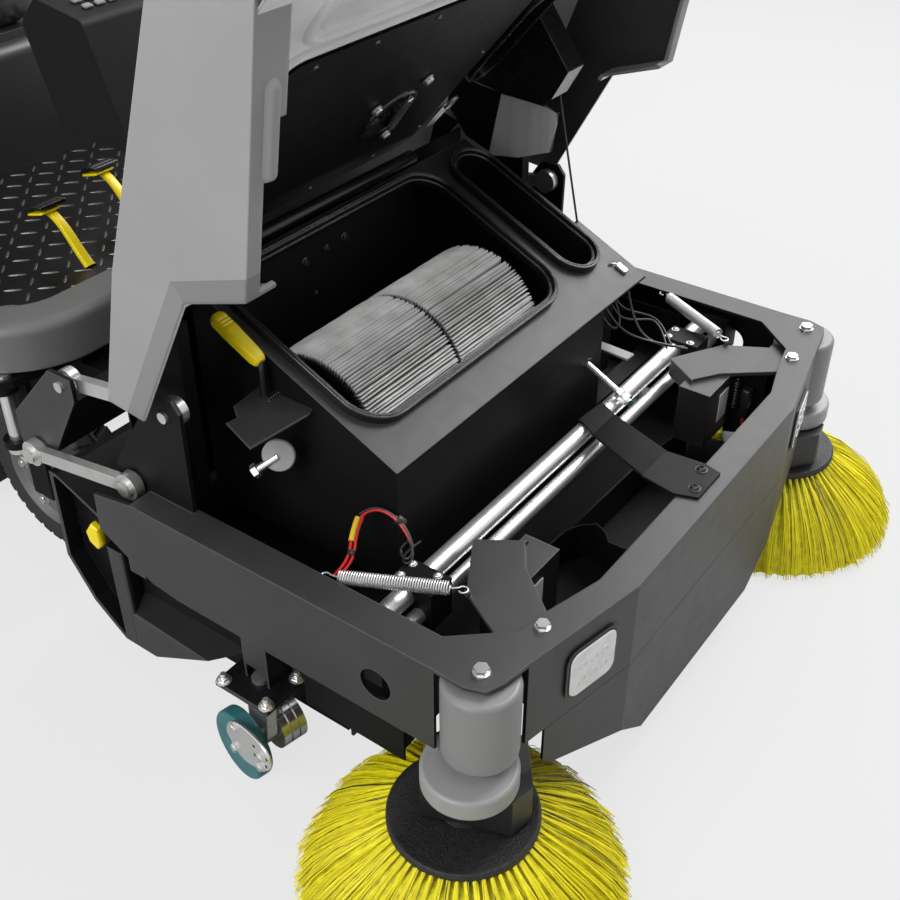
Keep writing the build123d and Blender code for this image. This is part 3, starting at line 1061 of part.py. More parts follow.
def rear_tank():
    """Fresh and dirty water tank behind the seat, with the lid's hinge ears and pins on its top."""
    y0 = CONSOLE_REAR + 0.5
    outline = [(y0, CONSOLE_LOW), (y0, CONSOLE_TOP + 60), (y0 + 95, CONSOLE_TOP + 130), (y0 + 130, TANK_TOP),
               (TANK_REAR - 24, TANK_TOP), (TANK_REAR, TANK_TOP - 120), (TANK_REAR, CONSOLE_LOW + 30),
               (TANK_REAR - 15, CONSOLE_LOW)]
    body = prism_x(outline, -CONSOLE_HALF, CONSOLE_HALF)
    body = fillet(body.edges().filter_by(lambda e: abs(e.center().X) > CONSOLE_HALF - 1), 26)
    neck = box(-220, 220, y0 + 160, TANK_REAR - 60, TANK_TOP - 90, TANK_TOP + 1)
    ear = box(150, 160, LID2_Y - 8, LID2_Y + 5, TANK_TOP - 5, TANK_TOP + 15)
    pin = cyl_x(LID2_PIN_R, 118, 151, LID2_Y, TANK_TOP + 9)
    return body - neck + both(ear + pin)


def tank_lid():
    """Cover over the tank's filling well, on two knuckles along its front edge."""
    y0 = LID2_Y + 14
    lid = box(-250, 250, y0, TANK_REAR - 40, TANK_TOP + SEAT, TANK_TOP + LID2_T)
    lid = fillet(lid.edges().filter_by(Axis.Z), 20)
    knuckle = cyl_x(8, 122, 146, LID2_Y, TANK_TOP + 9) + box(122, 146, LID2_Y, y0 + 1, TANK_TOP + 4, TANK_TOP + 14)
    knuckle -= cyl_x(LID2_PIN_R + RUN, 110, 170, LID2_Y, TANK_TOP + 9)
    return lid + both(knuckle)


def scrub_deck():
    """Roller scrub head: hood plate, ends and two hangers up to the chassis beams."""
    top = SCRUB_TOP
    shell = box(-SCRUB_HALF, SCRUB_HALF, SCRUB_FRONT, SCRUB_REAR, 40, top)
    inside = box(8 - SCRUB_HALF, SCRUB_HALF - 8, SCRUB_FRONT + 6, SCRUB_REAR - 6, 39, top - 90)
    hanger = box(BEAM_X, BEAM_X + BEAM_W, SCRUB_FRONT + 120, SCRUB_FRONT + 240, top, BEAM_LOW)
    stub = Compound(children=[])
    body = shell - inside + both(hanger)
    for y in scrub_stations:
        body += both(cyl_x(10, SCRUB_HALF - 34, SCRUB_HALF - 8, y, SCRUB_R + SCRUB_GAP))
    return body


scrub_stations = (SCRUB_FRONT + 95, SCRUB_REAR - 95)


def scrub_roller(y):
    half = SCRUB_HALF - 20
    body = cyl_x(SCRUB_R, -half, half, y, SCRUB_R + SCRUB_GAP)
    hole = cyl_x(10 + RUN, half - 18, half + 1, y, SCRUB_R + SCRUB_GAP)
    return body - hole - twin(hole)


def arc_band(r_in, r_out, z0, z1):
    """A curved bar about a vertical axis ahead of the squeegee, cut to its width."""
    centre = SQUEEGEE_Y - SQUEEGEE_R
    band = cyl_z(r_out, z0, z1, 0, centre) - cyl_z(r_in, z0 - 1, z1 + 1, 0, centre)
    return band & box(-SQUEEGEE_HALF, SQUEEGEE_HALF, centre + 500, SQUEEGEE_Y + 10, z0 - 1, z1 + 1)


def squeegee():
    """Curved suction bar with its hanger to the rear cross beam and the hose socket."""
    bar = arc_band(SQUEEGEE_R - 70, SQUEEGEE_R - 6, 44, 84)
    neck = box(-60, 60, CHASSIS_REAR - 28, SQUEEGEE_Y - 50, 84, 96)
    hanger = box(-90, 90, CHASSIS_REAR - 28, CHASSIS_REAR - 16, 84, BEAM_LOW)
    socket = cyl_z(HOSE_R + 5, 84, 130, 0, SQUEEGEE_Y - 38)
    return bar + neck + hanger + socket


def squeegee_blades():
    front = arc_band(SQUEEGEE_R - 70, SQUEEGEE_R - 65, 2, 44)
    rear = arc_band(SQUEEGEE_R - 11, SQUEEGEE_R - 6, 2, 44)
    return apart(front, rear)


def suction_hose():
    """Hose from the squeegee's socket up to the tank's underside."""
    y = SQUEEGEE_Y - 38
    return cyl_z(HOSE_R, 130, CONSOLE_LOW, 0, y) - cyl_z(HOSE_R - 4, 129, CONSOLE_LOW + 1, 0, y)


# ---------- build ----------
save("front_frame", front_frame())
save("nose_apron", nose_apron())
lamp = headlamp()
save("headlamps", apart(lamp, twin(lamp)))
left_pins = [roller_pin(), arm_pin()]
save("pivot_pins", apart(*left_pins, *[twin(pin) for pin in left_pins], kingpins()))
for hand, place in (("left", lambda shape: shape), ("right", twin)):
    save(f"corner_roller_{hand}", place(corner_roller()))
    save(f"brush_arm_{hand}", place(brush_arm()))
    save(f"side_brush_{hand}", place(side_brush()))
    save(f"castor_fork_{hand}", place(castor_fork()))
    save(f"castor_wheel_{hand}", place(castor_wheel()))
    save(f"knuckle_{hand}", place(knuckle()))
    save(f"front_wheel_{hand}", place(front_wheel()))
    save(f"rear_wheel_{hand}", place(rear_wheel()))
save("arm_springs", apart(brush_spring(), twin(brush_spring())))
save("cross_tubes", cross_tubes())
save("tube_mounts", apart(tube_mounts(), centre_bracket()))
save("filter_housing", filter_housing() + filter_cradle())
save("filter_seals", filter_seals())
save("filter_cartridge", filter_cartridge())
save("lock_lever", lock_lever())
save("sweep_tunnel", sweep_tunnel())
save("sweep_roller", sweep_roller())
save("hopper", hopper())
save("link_arms", link_arms())
save("hinge_towers", both(hinge_towers()))
save("bulkhead", bulkhead())
save("hood_shell", hood_shell() + hinge_knuckles())
save("filter_lid", filter_lid())
save("fan_unit", fan_unit())
save("chassis_frame", chassis_frame())
save("rear_axle", rear_axle())
save("platform_deck", platform_deck())
save("platform_sill", platform_sill())
save("pedals", pedals())
save("dash_console", dash_console())
save("steering_column", steering_column())
save("steering_wheel", steering_wheel())
save("seat_console", seat_console())
save("battery", battery())
save("seat_cushion", seat_cushion())
save("seat_back", seat_back())
save("rear_tank", rear_tank())
save("tank_lid", tank_lid())
save("scrub_deck", scrub_deck())
save("scrub_roller_front", scrub_roller(scrub_stations[0]))
save("scrub_roller_rear", scrub_roller(scrub_stations[1]))
save("squeegee", squeegee())
save("rubber_strips", apart(tunnel_flap(), squeegee_blades()))
save("suction_hose", suction_hose())
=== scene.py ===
"""Ride-on floor scrubber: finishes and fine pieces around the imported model."""

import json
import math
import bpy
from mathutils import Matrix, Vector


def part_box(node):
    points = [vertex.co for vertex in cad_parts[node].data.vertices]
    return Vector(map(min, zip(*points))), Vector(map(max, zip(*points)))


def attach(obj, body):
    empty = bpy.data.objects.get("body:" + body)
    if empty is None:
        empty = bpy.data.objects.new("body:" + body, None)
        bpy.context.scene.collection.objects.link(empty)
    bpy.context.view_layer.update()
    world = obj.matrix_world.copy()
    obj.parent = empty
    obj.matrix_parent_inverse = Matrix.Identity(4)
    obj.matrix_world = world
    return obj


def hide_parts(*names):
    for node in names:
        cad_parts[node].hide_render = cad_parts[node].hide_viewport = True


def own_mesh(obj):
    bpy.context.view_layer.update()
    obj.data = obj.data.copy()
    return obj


bl_info = {
    "name": "Ride-on floor scrubber",
    "version": (1, 0, 0),
    "blender": (4, 5, 0),
    "location": "View3D > Sidebar > Scrubber",
    "description": "Finishes, brushes, fasteners, springs, wiring and upholstery of a ride-on floor scrubber",
    "category": "Object",
}

import bmesh
import bpy
import numpy as np
from mathutils import Matrix, Vector

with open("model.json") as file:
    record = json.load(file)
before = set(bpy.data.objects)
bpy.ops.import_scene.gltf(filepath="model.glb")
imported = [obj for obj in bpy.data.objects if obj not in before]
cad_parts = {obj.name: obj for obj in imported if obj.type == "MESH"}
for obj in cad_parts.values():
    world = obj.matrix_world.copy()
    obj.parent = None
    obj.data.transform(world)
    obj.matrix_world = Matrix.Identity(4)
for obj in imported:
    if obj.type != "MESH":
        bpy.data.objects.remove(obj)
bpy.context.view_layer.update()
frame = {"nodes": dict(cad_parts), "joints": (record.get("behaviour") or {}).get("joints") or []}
NODES = frame["nodes"]
ROLLER_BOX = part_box("corner_roller_left")
LINE_Y = (ROLLER_BOX[0].y + ROLLER_BOX[1].y) / 2    # the line through the two corner rollers
HINGE = next(j for j in frame["joints"] if j["name"] == "hood_hinge")
HINGE_Y = (HINGE["pos_m"][1] - LINE_Y) * 1000
HINGE_Z = HINGE["pos_m"][2] * 1000
HOOD_OPEN = math.radians(HINGE["range_deg"][1])
SLOPE = math.radians(25.2)          # tilt of the filter housing's top plate
SLOPE_Y, SLOPE_Z = 288.0, 586.0     # its front edge
LID_GAP = 24.0                      # between the top plate and the lid's lower face when shut
# The housing's two openings: x from, x to, middle and half length up the slope, corner radius.
SEAL_LINES = ((-372, 198, 262, 178, 62), (265, 357, 262, 170, 45))
CART_Y, CART_Z = 523.2, 544.2       # axis of the filter cartridge
CASTOR_X, CASTOR_Y, CASTOR_TURN = 612.0, 437.0, math.radians(12)
HALF_HOUSING = 408
SQUEEGEE_R, SQUEEGEE_MID = 1500.0, 940.0     # the squeegee bar's radius and the y of its centre
SIDES = ((1, "left"), (-1, "right"))         # the sign of x on each side
SHARP = math.radians(38)            # edges that turn further than this stay crisp
FLOOR_TONE, SEEN_SHARE = 0.87, 0.85  # the floor's even tone to the camera, and its share of what shows
FLOOR_REACH = 14.0                  # metres from the middle of the floor to its edge


# ---------- places ----------
def at(points):
    """Millimetres from the roller line and the floor, turned into metres in the model's frame."""
    p = np.asarray(points, float) / 1000.0
    return p + np.array([0.0, LINE_Y, 0.0])


def opened(points):
    """Points of the shut hood, turned about its hinge line to where the open hood has them."""
    p = np.array(points, float)
    dy, dz = p[..., 1] - HINGE_Y, p[..., 2] - HINGE_Z
    c, s = math.cos(HOOD_OPEN), math.sin(HOOD_OPEN)
    p[..., 1] = HINGE_Y + c * dy + s * dz
    p[..., 2] = HINGE_Z - s * dy + c * dz
    return p


def on_slope(points):
    """Points (across, up the slope, off the plate) of the housing's sloping top plate, in millimetres."""
    p = np.array(points, float)
    s, h = p[..., 1].copy(), p[..., 2].copy()
    p[..., 1] = SLOPE_Y + s * math.cos(SLOPE) - h * math.sin(SLOPE)
    p[..., 2] = SLOPE_Z + s * math.sin(SLOPE) + h * math.cos(SLOPE)
    return p


def unit(v):
    """Vectors scaled to length one."""
    v = np.asarray(v, float)
    return v / np.maximum(np.linalg.norm(v, axis=-1, keepdims=True), 1e-12)


def in_mm(box):
    """A box's lowest and highest corners, in millimetres from the roller line and the floor."""
    return [(np.array(c) - [0, LINE_Y, 0]) * 1000 for c in box]


def circle(count):
    """Angles evenly round one turn."""
    return np.linspace(0, 2 * math.pi, count, endpoint=False)


def power(f, e):
    """A power that keeps the sign, which squares off a circle's sine and cosine."""
    return np.sign(f) * np.abs(f) ** e


def rod(radius, low, high):
    """Profile of a plain round bar between two heights."""
    return [(0, low), (radius, low), (radius, high), (0, high)]


# ---------- meshes ----------
FINISHES = {}                       # the materials, by the short name that each piece gives


def put(name, verts, faces, material, body="chassis", smooth=True, slot=None, merge=1e-7):
    """A mesh object from metre vertices and faces, merged where points coincide, facing outwards, riding on body."""
    mesh = bpy.data.meshes.new(name)
    mesh.from_pydata(np.asarray(verts, float).tolist(), [], faces.tolist() if hasattr(faces, "tolist") else faces)
    bm = bmesh.new()
    bm.from_mesh(mesh)
    bmesh.ops.remove_doubles(bm, verts=bm.verts, dist=merge)
    bmesh.ops.recalc_face_normals(bm, faces=bm.faces)
    bm.to_mesh(mesh)
    bm.free()
    mesh.materials.append(FINISHES[material])
    if smooth:
        mesh.shade_smooth()
        mesh.set_sharp_from_angle(angle=SHARP)
    piece = bpy.data.objects.new(name, mesh)
    bpy.context.scene.collection.objects.link(piece)
    if body:
        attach(piece, body)
    return piece


def grids(p, wrap_u=False, wrap_v=True):
    """Vertices and quads of k surfaces given as an array (k, n, m, 3); a wrapped direction joins end to start."""
    k, n, m = p.shape[:3]
    i = np.arange(n if wrap_u else n - 1)
    j = np.arange(m if wrap_v else m - 1)
    a, b = np.meshgrid(i, j, indexing="ij")
    a1, b1 = (a + 1) % n, (b + 1) % m
    quads = np.stack([a * m + b, a1 * m + b, a1 * m + b1, a * m + b1], -1).reshape(1, -1, 4)
    quads = quads + (np.arange(k) * n * m)[:, None, None]
    return p.reshape(-1, 3), quads.reshape(-1, 4)


def piece(name, p, material, body="chassis", wrap_u=False, wrap_v=True, slot=None, smooth=True):
    """A piece from surface grids in millimetres."""
    verts, faces = grids(p, wrap_u, wrap_v)
    return put(name, at(verts), faces, material, body, smooth, slot)


def bundle(name, parts, material, body="chassis", slot=None, smooth=True):
    """Several grids of different sizes as one piece, in millimetres; a part is an array closed across its rings, or
    (array, wrap_u, wrap_v)."""
    verts, faces, start = [], [], 0
    for part in parts:
        v, f = grids(*part) if isinstance(part, tuple) else grids(part)
        verts.append(v)
        faces += (f + start).tolist()
        start += len(v)
    return put(name, at(np.concatenate(verts)), faces, material, body, smooth, slot)


def smooth_line(points, count=40):
    """A clamped uniform cubic B-spline: each stretch blends four neighbouring points with cubic weights."""
    p = np.asarray(points, float)
    p = np.concatenate([np.repeat(p[:1], 2, 0), p, np.repeat(p[-1:], 2, 0)])
    t = np.linspace(0, len(p) - 3 - 1e-9, count)
    i = t.astype(int)
    f = (t - i)[:, None]
    w = [(1 - f) ** 3 / 6, (3 * f ** 3 - 6 * f ** 2 + 4) / 6, (-3 * f ** 3 + 3 * f ** 2 + 3 * f + 1) / 6, f ** 3 / 6]
    return sum(w[k] * p[i + k] for k in range(4))


def tube(path, radius, sides=10):
    """A circle of the given radius carried square to a path, its two ends closed to a point: a (1, n, sides, 3)
    grid."""
    path = np.asarray(path, float)
    t = unit(np.gradient(path, axis=0))
    ref = np.eye(3)[np.argmin(np.abs(t).mean(0))]
    u = unit(np.cross(t, ref))
    v = np.cross(t, u)
    a = circle(sides)
    r = np.broadcast_to(np.asarray(radius, float), (len(path),))[:, None, None]
    ring = path[:, None] + r * (u[:, None] * np.cos(a)[None, :, None] + v[:, None] * np.sin(a)[None, :, None])
    ends = [np.repeat(path[:1, None], sides, 1), np.repeat(path[-1:, None], sides, 1)]
    return np.concatenate([ends[0], ring, ends[1]])[None]


def turned(profile, centre, axis, sides=48):
    """A profile of (radius, height) pairs turned about an axis through centre: a (1, n, sides, 3) grid."""
    axis = unit(axis)
    ref = np.eye(3)[np.argmin(np.abs(axis))]
    u = unit(np.cross(axis, ref))
    v = np.cross(axis, u)
    a = circle(sides)
    r, h = np.asarray(profile, float).T
    spin = u * np.cos(a)[:, None] + v * np.sin(a)[:, None]
    return (np.asarray(centre, float) + h[:, None, None] * axis + r[:, None, None] * spin[None])[None]


def slab(outline, thickness, place, soften=0.0):
    """A flat outline of (u, v) points given a thickness along w: rings for both faces and their softened edge."""
    o = np.asarray(outline, float)
    mid = o.mean(0)
    inset = unit(mid - o) * soften
    rings = [(np.repeat(mid[None], len(o), 0), 0.0), (o + inset, 0.0), (o, soften), (o, thickness - soften),
             (o + inset, thickness), (np.repeat(mid[None], len(o), 0), thickness)]
    p = np.stack([np.concatenate([r, np.full((len(o), 1), h)], 1) for r, h in rings])
    return place(p)[None]


def rounded(x0, x1, y0, y1, r, per=6):
    """Outline of a rectangle with four rounded corners."""
    a = np.linspace(0, math.pi / 2, per)
    c, s = np.cos(a) * r, np.sin(a) * r
    parts = [(x1 - r + c, y1 - r + s), (x0 + r - s, y1 - r + c), (x0 + r - c, y0 + r - s), (x1 - r + s, y0 + r - c)]
    return np.concatenate([np.stack(q, 1) for q in parts])


def basis(origin, normal, up=(0, 0, 1)):
    """A place on a plane: (u across, v along up, w off the plane) becomes a point."""
    n = unit(normal)
    u = unit(np.cross(up, n))
    v = np.cross(n, u)
    return lambda p: np.asarray(origin, float) + p[..., :1] * u + p[..., 1:2] * v + p[..., 2:3] * n


def heads(spots, kind):
    """Screw heads as a (k, n, 24, 3) grid: a flat washer, then a hexagon with a chamfered top or a dome with a
    socket. Each spot is (x, y, z, normal x, y, z, head radius)."""
    s = np.asarray(spots, float)
    a = circle(24)
    six = math.cos(math.pi / 6) / np.cos(np.mod(a, math.pi / 3) - math.pi / 6) * 1.12
    one = np.ones_like(a)
    if kind == "hex":
        rings = [(0, -0.1, one), (1.45, -0.1, one), (1.45, 0.16, one), (1.38, 0.2, one), (0.98, 0.2, six),
                 (0.98, 0.82, six), (0.9, 0.95, one), (0, 0.95, one)]
    else:
        rings = [(0, -0.1, one), (1.3, -0.1, one), (1.3, 0.1, one), (1, 0.12, one), (0.97, 0.35, one),
                 (0.75, 0.62, one), (0.5, 0.7, six), (0.48, 0.3, six), (0, 0.26, one)]
    r = np.array([q[0] * q[2] for q in rings])
    h = np.array([np.full(24, q[1]) for q in rings])
    n = unit(s[:, 3:6])
    ref = np.where(np.abs(n[:, 2:3]) > 0.9, [[1.0, 0.2, 0]], [[0, 0, 1.0]])
    u = unit(np.cross(n, ref))
    v = np.cross(n, u)
    size = s[:, 6][:, None, None, None]
    flat = r[None, :, :, None] * (u[:, None, None] * np.cos(a)[:, None] + v[:, None, None] * np.sin(a)[:, None])
    return s[:, None, None, :3] + size * (flat + h[None, :, :, None] * n[:, None, None])


def add_heads(name, kind, material, body, spots):
    """Screw heads of one kind as one piece."""
    return piece(name, heads(spots, kind), material, body, slot="zinc" if material == "zinc" else None)


def strands(roots, tips, bend, thick, seed, steps=5):
    """Bristles from roots to tips: a straight run plus a bow along bend, largest two thirds of the way, tapering;
    three-sided tubes as a (k, steps, 3, 3) grid."""
    rng = np.random.default_rng(seed)
    t = np.linspace(0, 1, steps)[None, :, None]
    p = roots[:, None] * (1 - t) + tips[:, None] * t + bend[:, None] * (t * (1 - t) * 2.2 * (0.6 + t))
    d = unit(tips - roots)
    u = unit(np.cross(d, rng.normal(size=d.shape)))
    v = np.cross(d, u)
    a = np.array([0, 2.0944, 4.18879])[None, None, :, None]
    r = (thick[:, None, None, None] if np.ndim(thick) else thick) * (1 - 0.45 * t[..., None])
    return p[:, :, None] + r * (u[:, None, None] * np.cos(a) + v[:, None, None] * np.sin(a))


def paint(node, *layers):
    """Gives a solid's faces their finishes: the first layer to all of them, and each later (finish, rule) where its
    rule holds, which reads the faces' centres in millimetres and their outward normals."""
    mesh = NODES[node].data
    mesh.materials.clear()
    count = len(mesh.polygons)
    centre, normal = np.zeros(count * 3), np.zeros(count * 3)
    mesh.polygons.foreach_get("center", centre)
    mesh.polygons.foreach_get("normal", normal)
    c = (centre.reshape(-1, 3) - [0, LINE_Y, 0]) * 1000
    n = normal.reshape(-1, 3)
    index = np.zeros(count, np.int32)
    mesh.materials.append(FINISHES[layers[0]])
    for k, (key, rule) in enumerate(layers[1:], 1):
        mesh.materials.append(FINISHES[key])
        index[rule(c, n)] = k
    mesh.polygons.foreach_set("material_index", index)


def lid(points):
    """Points (across, along, off) of the open lid's lower face, off counted towards the housing, in millimetres."""
    q = np.array(points, float)
    q[..., 2] = LID_GAP - q[..., 2]
    return opened(on_slope(q))


def ring_of(outline, widths):
    """Rings of one closed outline, each grown by a width and lifted by a height: (n, m, 3)."""
    o = np.asarray(outline, float)
    side = np.roll(o, -1, 0) - np.roll(o, 1, 0)
    out = unit(np.stack([side[:, 1], -side[:, 0]], 1))
    return np.stack([np.concatenate([o + out * w, np.full((len(o), 1), h)], 1) for w, h in widths])


def bead(outline, width, height, place, steps=7):
    """A half-round bead along a closed flat outline: across it the height follows a half circle."""
    a = np.linspace(0, math.pi, steps)
    rings = ring_of(outline, [(-width * math.cos(t), height * math.sin(t) - 0.2) for t in a])
    return place(rings)[None]


# ---------- finishes ----------
class Graph:
    """The nodes of a material or world."""

    def __init__(self, owner):
        owner.use_nodes = True
        self.nodes, self.links = owner.node_tree.nodes, owner.node_tree.links

    def join(self, node, inputs):
        """Gives a node its inputs, each one a socket to link or a plain value."""
        for key, value in inputs.items():
            if isinstance(value, bpy.types.NodeSocket):
                self.links.new(value, node.inputs[key])
            else:
                node.inputs[key].default_value = value

    def add(self, kind, inputs=None, **settings):
        """A new node with its settings and inputs."""
        node = self.nodes.new("ShaderNode" + kind)
        for key, value in settings.items():
            setattr(node, key, value)
        self.join(node, inputs or {})
        return node

    def maths(self, kind, operation, *values):
        """The result of one step on numbers (Math) or vectors (VectorMath)."""
        return self.add(kind, dict(enumerate(values)), operation=operation).outputs[0]

    def first(self, kind):
        """The first node of a kind that is there already."""
        return next(k for k in self.nodes if k.type == kind)


def finish(name, colour, rough=0.5, metal=0.0, grain=900.0, depth=0.0, blotch=0.06, blotch_scale=7.0, edge=0.0,
           edge_size=0.0016, coat=0.0, sheen=0.0, streak=None, kind="noise", rough_swing=0.06, shine=0.5):
    """A surface material: the colour drifts with a large noise, the roughness with a finer one, a fine grain
    raises the surface, and edges take a lighter tone, partly wear and partly a painted highlight."""
    m = bpy.data.materials.new(name)
    g = Graph(m)
    place = where = g.add("TexCoord").outputs["Object"]
    if streak:
        where = g.add("Mapping", {"Vector": place, "Scale": streak}).outputs["Vector"]
    big = g.add("TexNoise", {"Vector": where, "Scale": blotch_scale, "Detail": 5})
    tone = g.add("ValToRGB", {"Fac": big.outputs["Fac"]})
    dark, light = tone.color_ramp.elements[0], tone.color_ramp.elements[1]
    dark.position, light.position = 0.3, 0.72
    dark.color = (*[max(c * (1 - blotch), 0) for c in colour], 1)
    light.color = (*[min(c * (1 + blotch), 1) for c in colour], 1)
    out = tone.outputs["Color"]
    if kind == "voronoi":
        grit = g.add("TexVoronoi", {"Vector": where, "Scale": grain}).outputs["Distance"]
    else:
        grit = g.add("TexNoise", {"Vector": where, "Scale": grain, "Detail": 3}).outputs["Fac"]
    mid = g.add("TexNoise", {"Vector": place, "Scale": blotch_scale * 5})
    swing = g.add("MapRange", {"Value": mid.outputs["Fac"], "To Min": max(rough - rough_swing, 0.02),
                               "To Max": min(rough + rough_swing, 1)})
    bump = g.add("Bump", {"Strength": 1.0, "Distance": max(depth, 1e-5), "Height": grit})
    if edge:
        bevel = g.add("Bevel", {"Radius": edge_size}, samples=4).outputs["Normal"]
        face = g.add("NewGeometry").outputs["Normal"]
        dot = g.add("VectorMath", {0: bevel, 1: face}, operation="DOT_PRODUCT")
        wear_and_highlight_mask = g.add("MapRange", {"Value": dot.outputs["Value"], "From Min": 0.995, "From Max": 0.82, "To Max": edge})
        # painted highlight: the lighter edge colour is partly wear and partly the light that rounded edges catch
        worn = (*[min(c * 2.6 + 0.05, 1) for c in colour], 1)
        out = g.add("Mix", {"Factor": wear_and_highlight_mask.outputs["Result"], "A": out, "B": worn},
                    data_type="RGBA").outputs["Result"]
        g.join(bump, {"Normal": bevel})
    g.join(g.nodes["Principled BSDF"], {
        "Base Color": out, "Roughness": swing.outputs["Result"], "Normal": bump.outputs["Normal"], "Metallic": metal,
        "Specular IOR Level": shine, "Coat Weight": coat, "Coat Roughness": 0.12, "Sheen Weight": sheen})
    return m


def shade_folds(m):
    """Paints shade into the pleats' valleys: the colour is multiplied by a ramp of the distance from the cartridge's
    axis, sqrt(y^2 + z^2) about that axis."""
    g = Graph(m)
    bsdf = g.nodes["Principled BSDF"]
    mid = at([0, CART_Y, CART_Z])
    centre = g.add("Mapping", {"Vector": g.add("TexCoord").outputs["Object"], "Location": (0, -mid[1], -mid[2]),
                               "Scale": (0, 1, 1)})
    far = g.add("VectorMath", {0: centre.outputs["Vector"]}, operation="LENGTH")
    # painted shade: darker towards the valleys, full colour on the ridges
    valley_shade = g.add("MapRange", {"Value": far.outputs["Value"], "From Min": 0.1225, "From Max": 0.1325, "To Min": 0.04})
    mix = g.add("Mix", {"Factor": 1.0, "A": bsdf.inputs["Base Color"].links[0].from_socket,
                        "B": valley_shade.outputs["Result"]}, data_type="RGBA", blend_type="MULTIPLY")
    g.join(bsdf, {"Base Color": mix.outputs["Result"]})


def lift_strands(m):
    """Lets a dense brush shade as its whole outer form: the shading normal is half the bristle's own and half the
    direction out and up from the brush's middle."""
    g = Graph(m)
    place = g.first("TEX_COORD").outputs["Object"]
    lo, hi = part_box("side_brush_left")
    mid = (lo + hi) / 2
    away = g.maths("VectorMath", "SUBTRACT", g.maths("VectorMath", "ABSOLUTE", place), (abs(mid.x), 0, 0))
    away, side, whole = (g.add("SeparateXYZ", {0: q}).outputs
                         for q in (away, g.maths("VectorMath", "SIGN", place), place))
    out = g.add("CombineXYZ", {"X": g.maths("Math", "MULTIPLY", away["X"], side["X"]),
                               "Y": g.maths("Math", "SUBTRACT", whole["Y"], mid.y), "Z": 0.34})
    both = g.maths("VectorMath", "ADD", g.add("NewGeometry").outputs["Normal"],
                   g.maths("VectorMath", "NORMALIZE", out.outputs[0]))
    g.join(g.nodes["Principled BSDF"], {"Normal": g.maths("VectorMath", "NORMALIZE", both)})


def turned_edge(m):
    """Turns the shell's shading over along the lower edge of each open wing: the depth falls with the distance to
    the nearer of two edge lines once that is under 34 mm, the greater distance holding where they meet inwards."""
    g = Graph(m)
    place = g.first("TEX_COORD").outputs["Object"]
    line = opened([[0, 484, 482], [0, 556, 588], [0, 838, 651]])[:, 1:]
    inner = opened([[0, 556, 700]])[0, 1:]
    far = []
    for a, b in zip(line, line[1:]):
        way = unit(b - a)
        out = np.array([-way[1], way[0]])
        out = out if (inner - a) @ out > 0 else -out
        base = at([[0, *a]])[0]
        dot = g.add("VectorMath", {0: place, 1: (0, *out)}, operation="DOT_PRODUCT").outputs["Value"]
        far.append(g.maths("Math", "SUBTRACT", dot, float(base[1] * out[0] + base[2] * out[1])))
    fall = g.add("MapRange", {"Value": g.maths("Math", "MAXIMUM", *far), "From Min": 0.0, "From Max": 0.034,
                              "To Min": -0.022, "To Max": 0.0})
    grain = g.first("BUMP")
    bump = g.add("Bump", {"Strength": 1.0, "Distance": 1.0, "Height": fall.outputs["Result"]})
    for old in list(g.links):
        if old.to_node == grain and old.to_socket.name == "Normal":
            g.join(bump, {"Normal": old.from_socket})
    g.join(grain, {"Normal": bump.outputs["Normal"]})


def folded(path, low, high, thick=3.0):
    """An upright strip of sheet along a plan path: a thin rectangle carried square to the path, its ends closed."""
    q = np.asarray(path, float)
    t = unit(np.gradient(q, axis=0))
    side = np.stack([-t[:, 1], t[:, 0]], 1) * thick / 2
    rows = [np.concatenate([q + s * side, np.full((len(q), 1), h)], 1) for s,
            h in ((1, low), (-1, low), (-1, high), (1, high))]
    ring = np.stack(rows, 1)
    ends = [np.repeat(ring[i].mean(0)[None, None], 4, 1) for i in (0, -1)]
    return np.concatenate([ends[0], ring, ends[1]])[None]


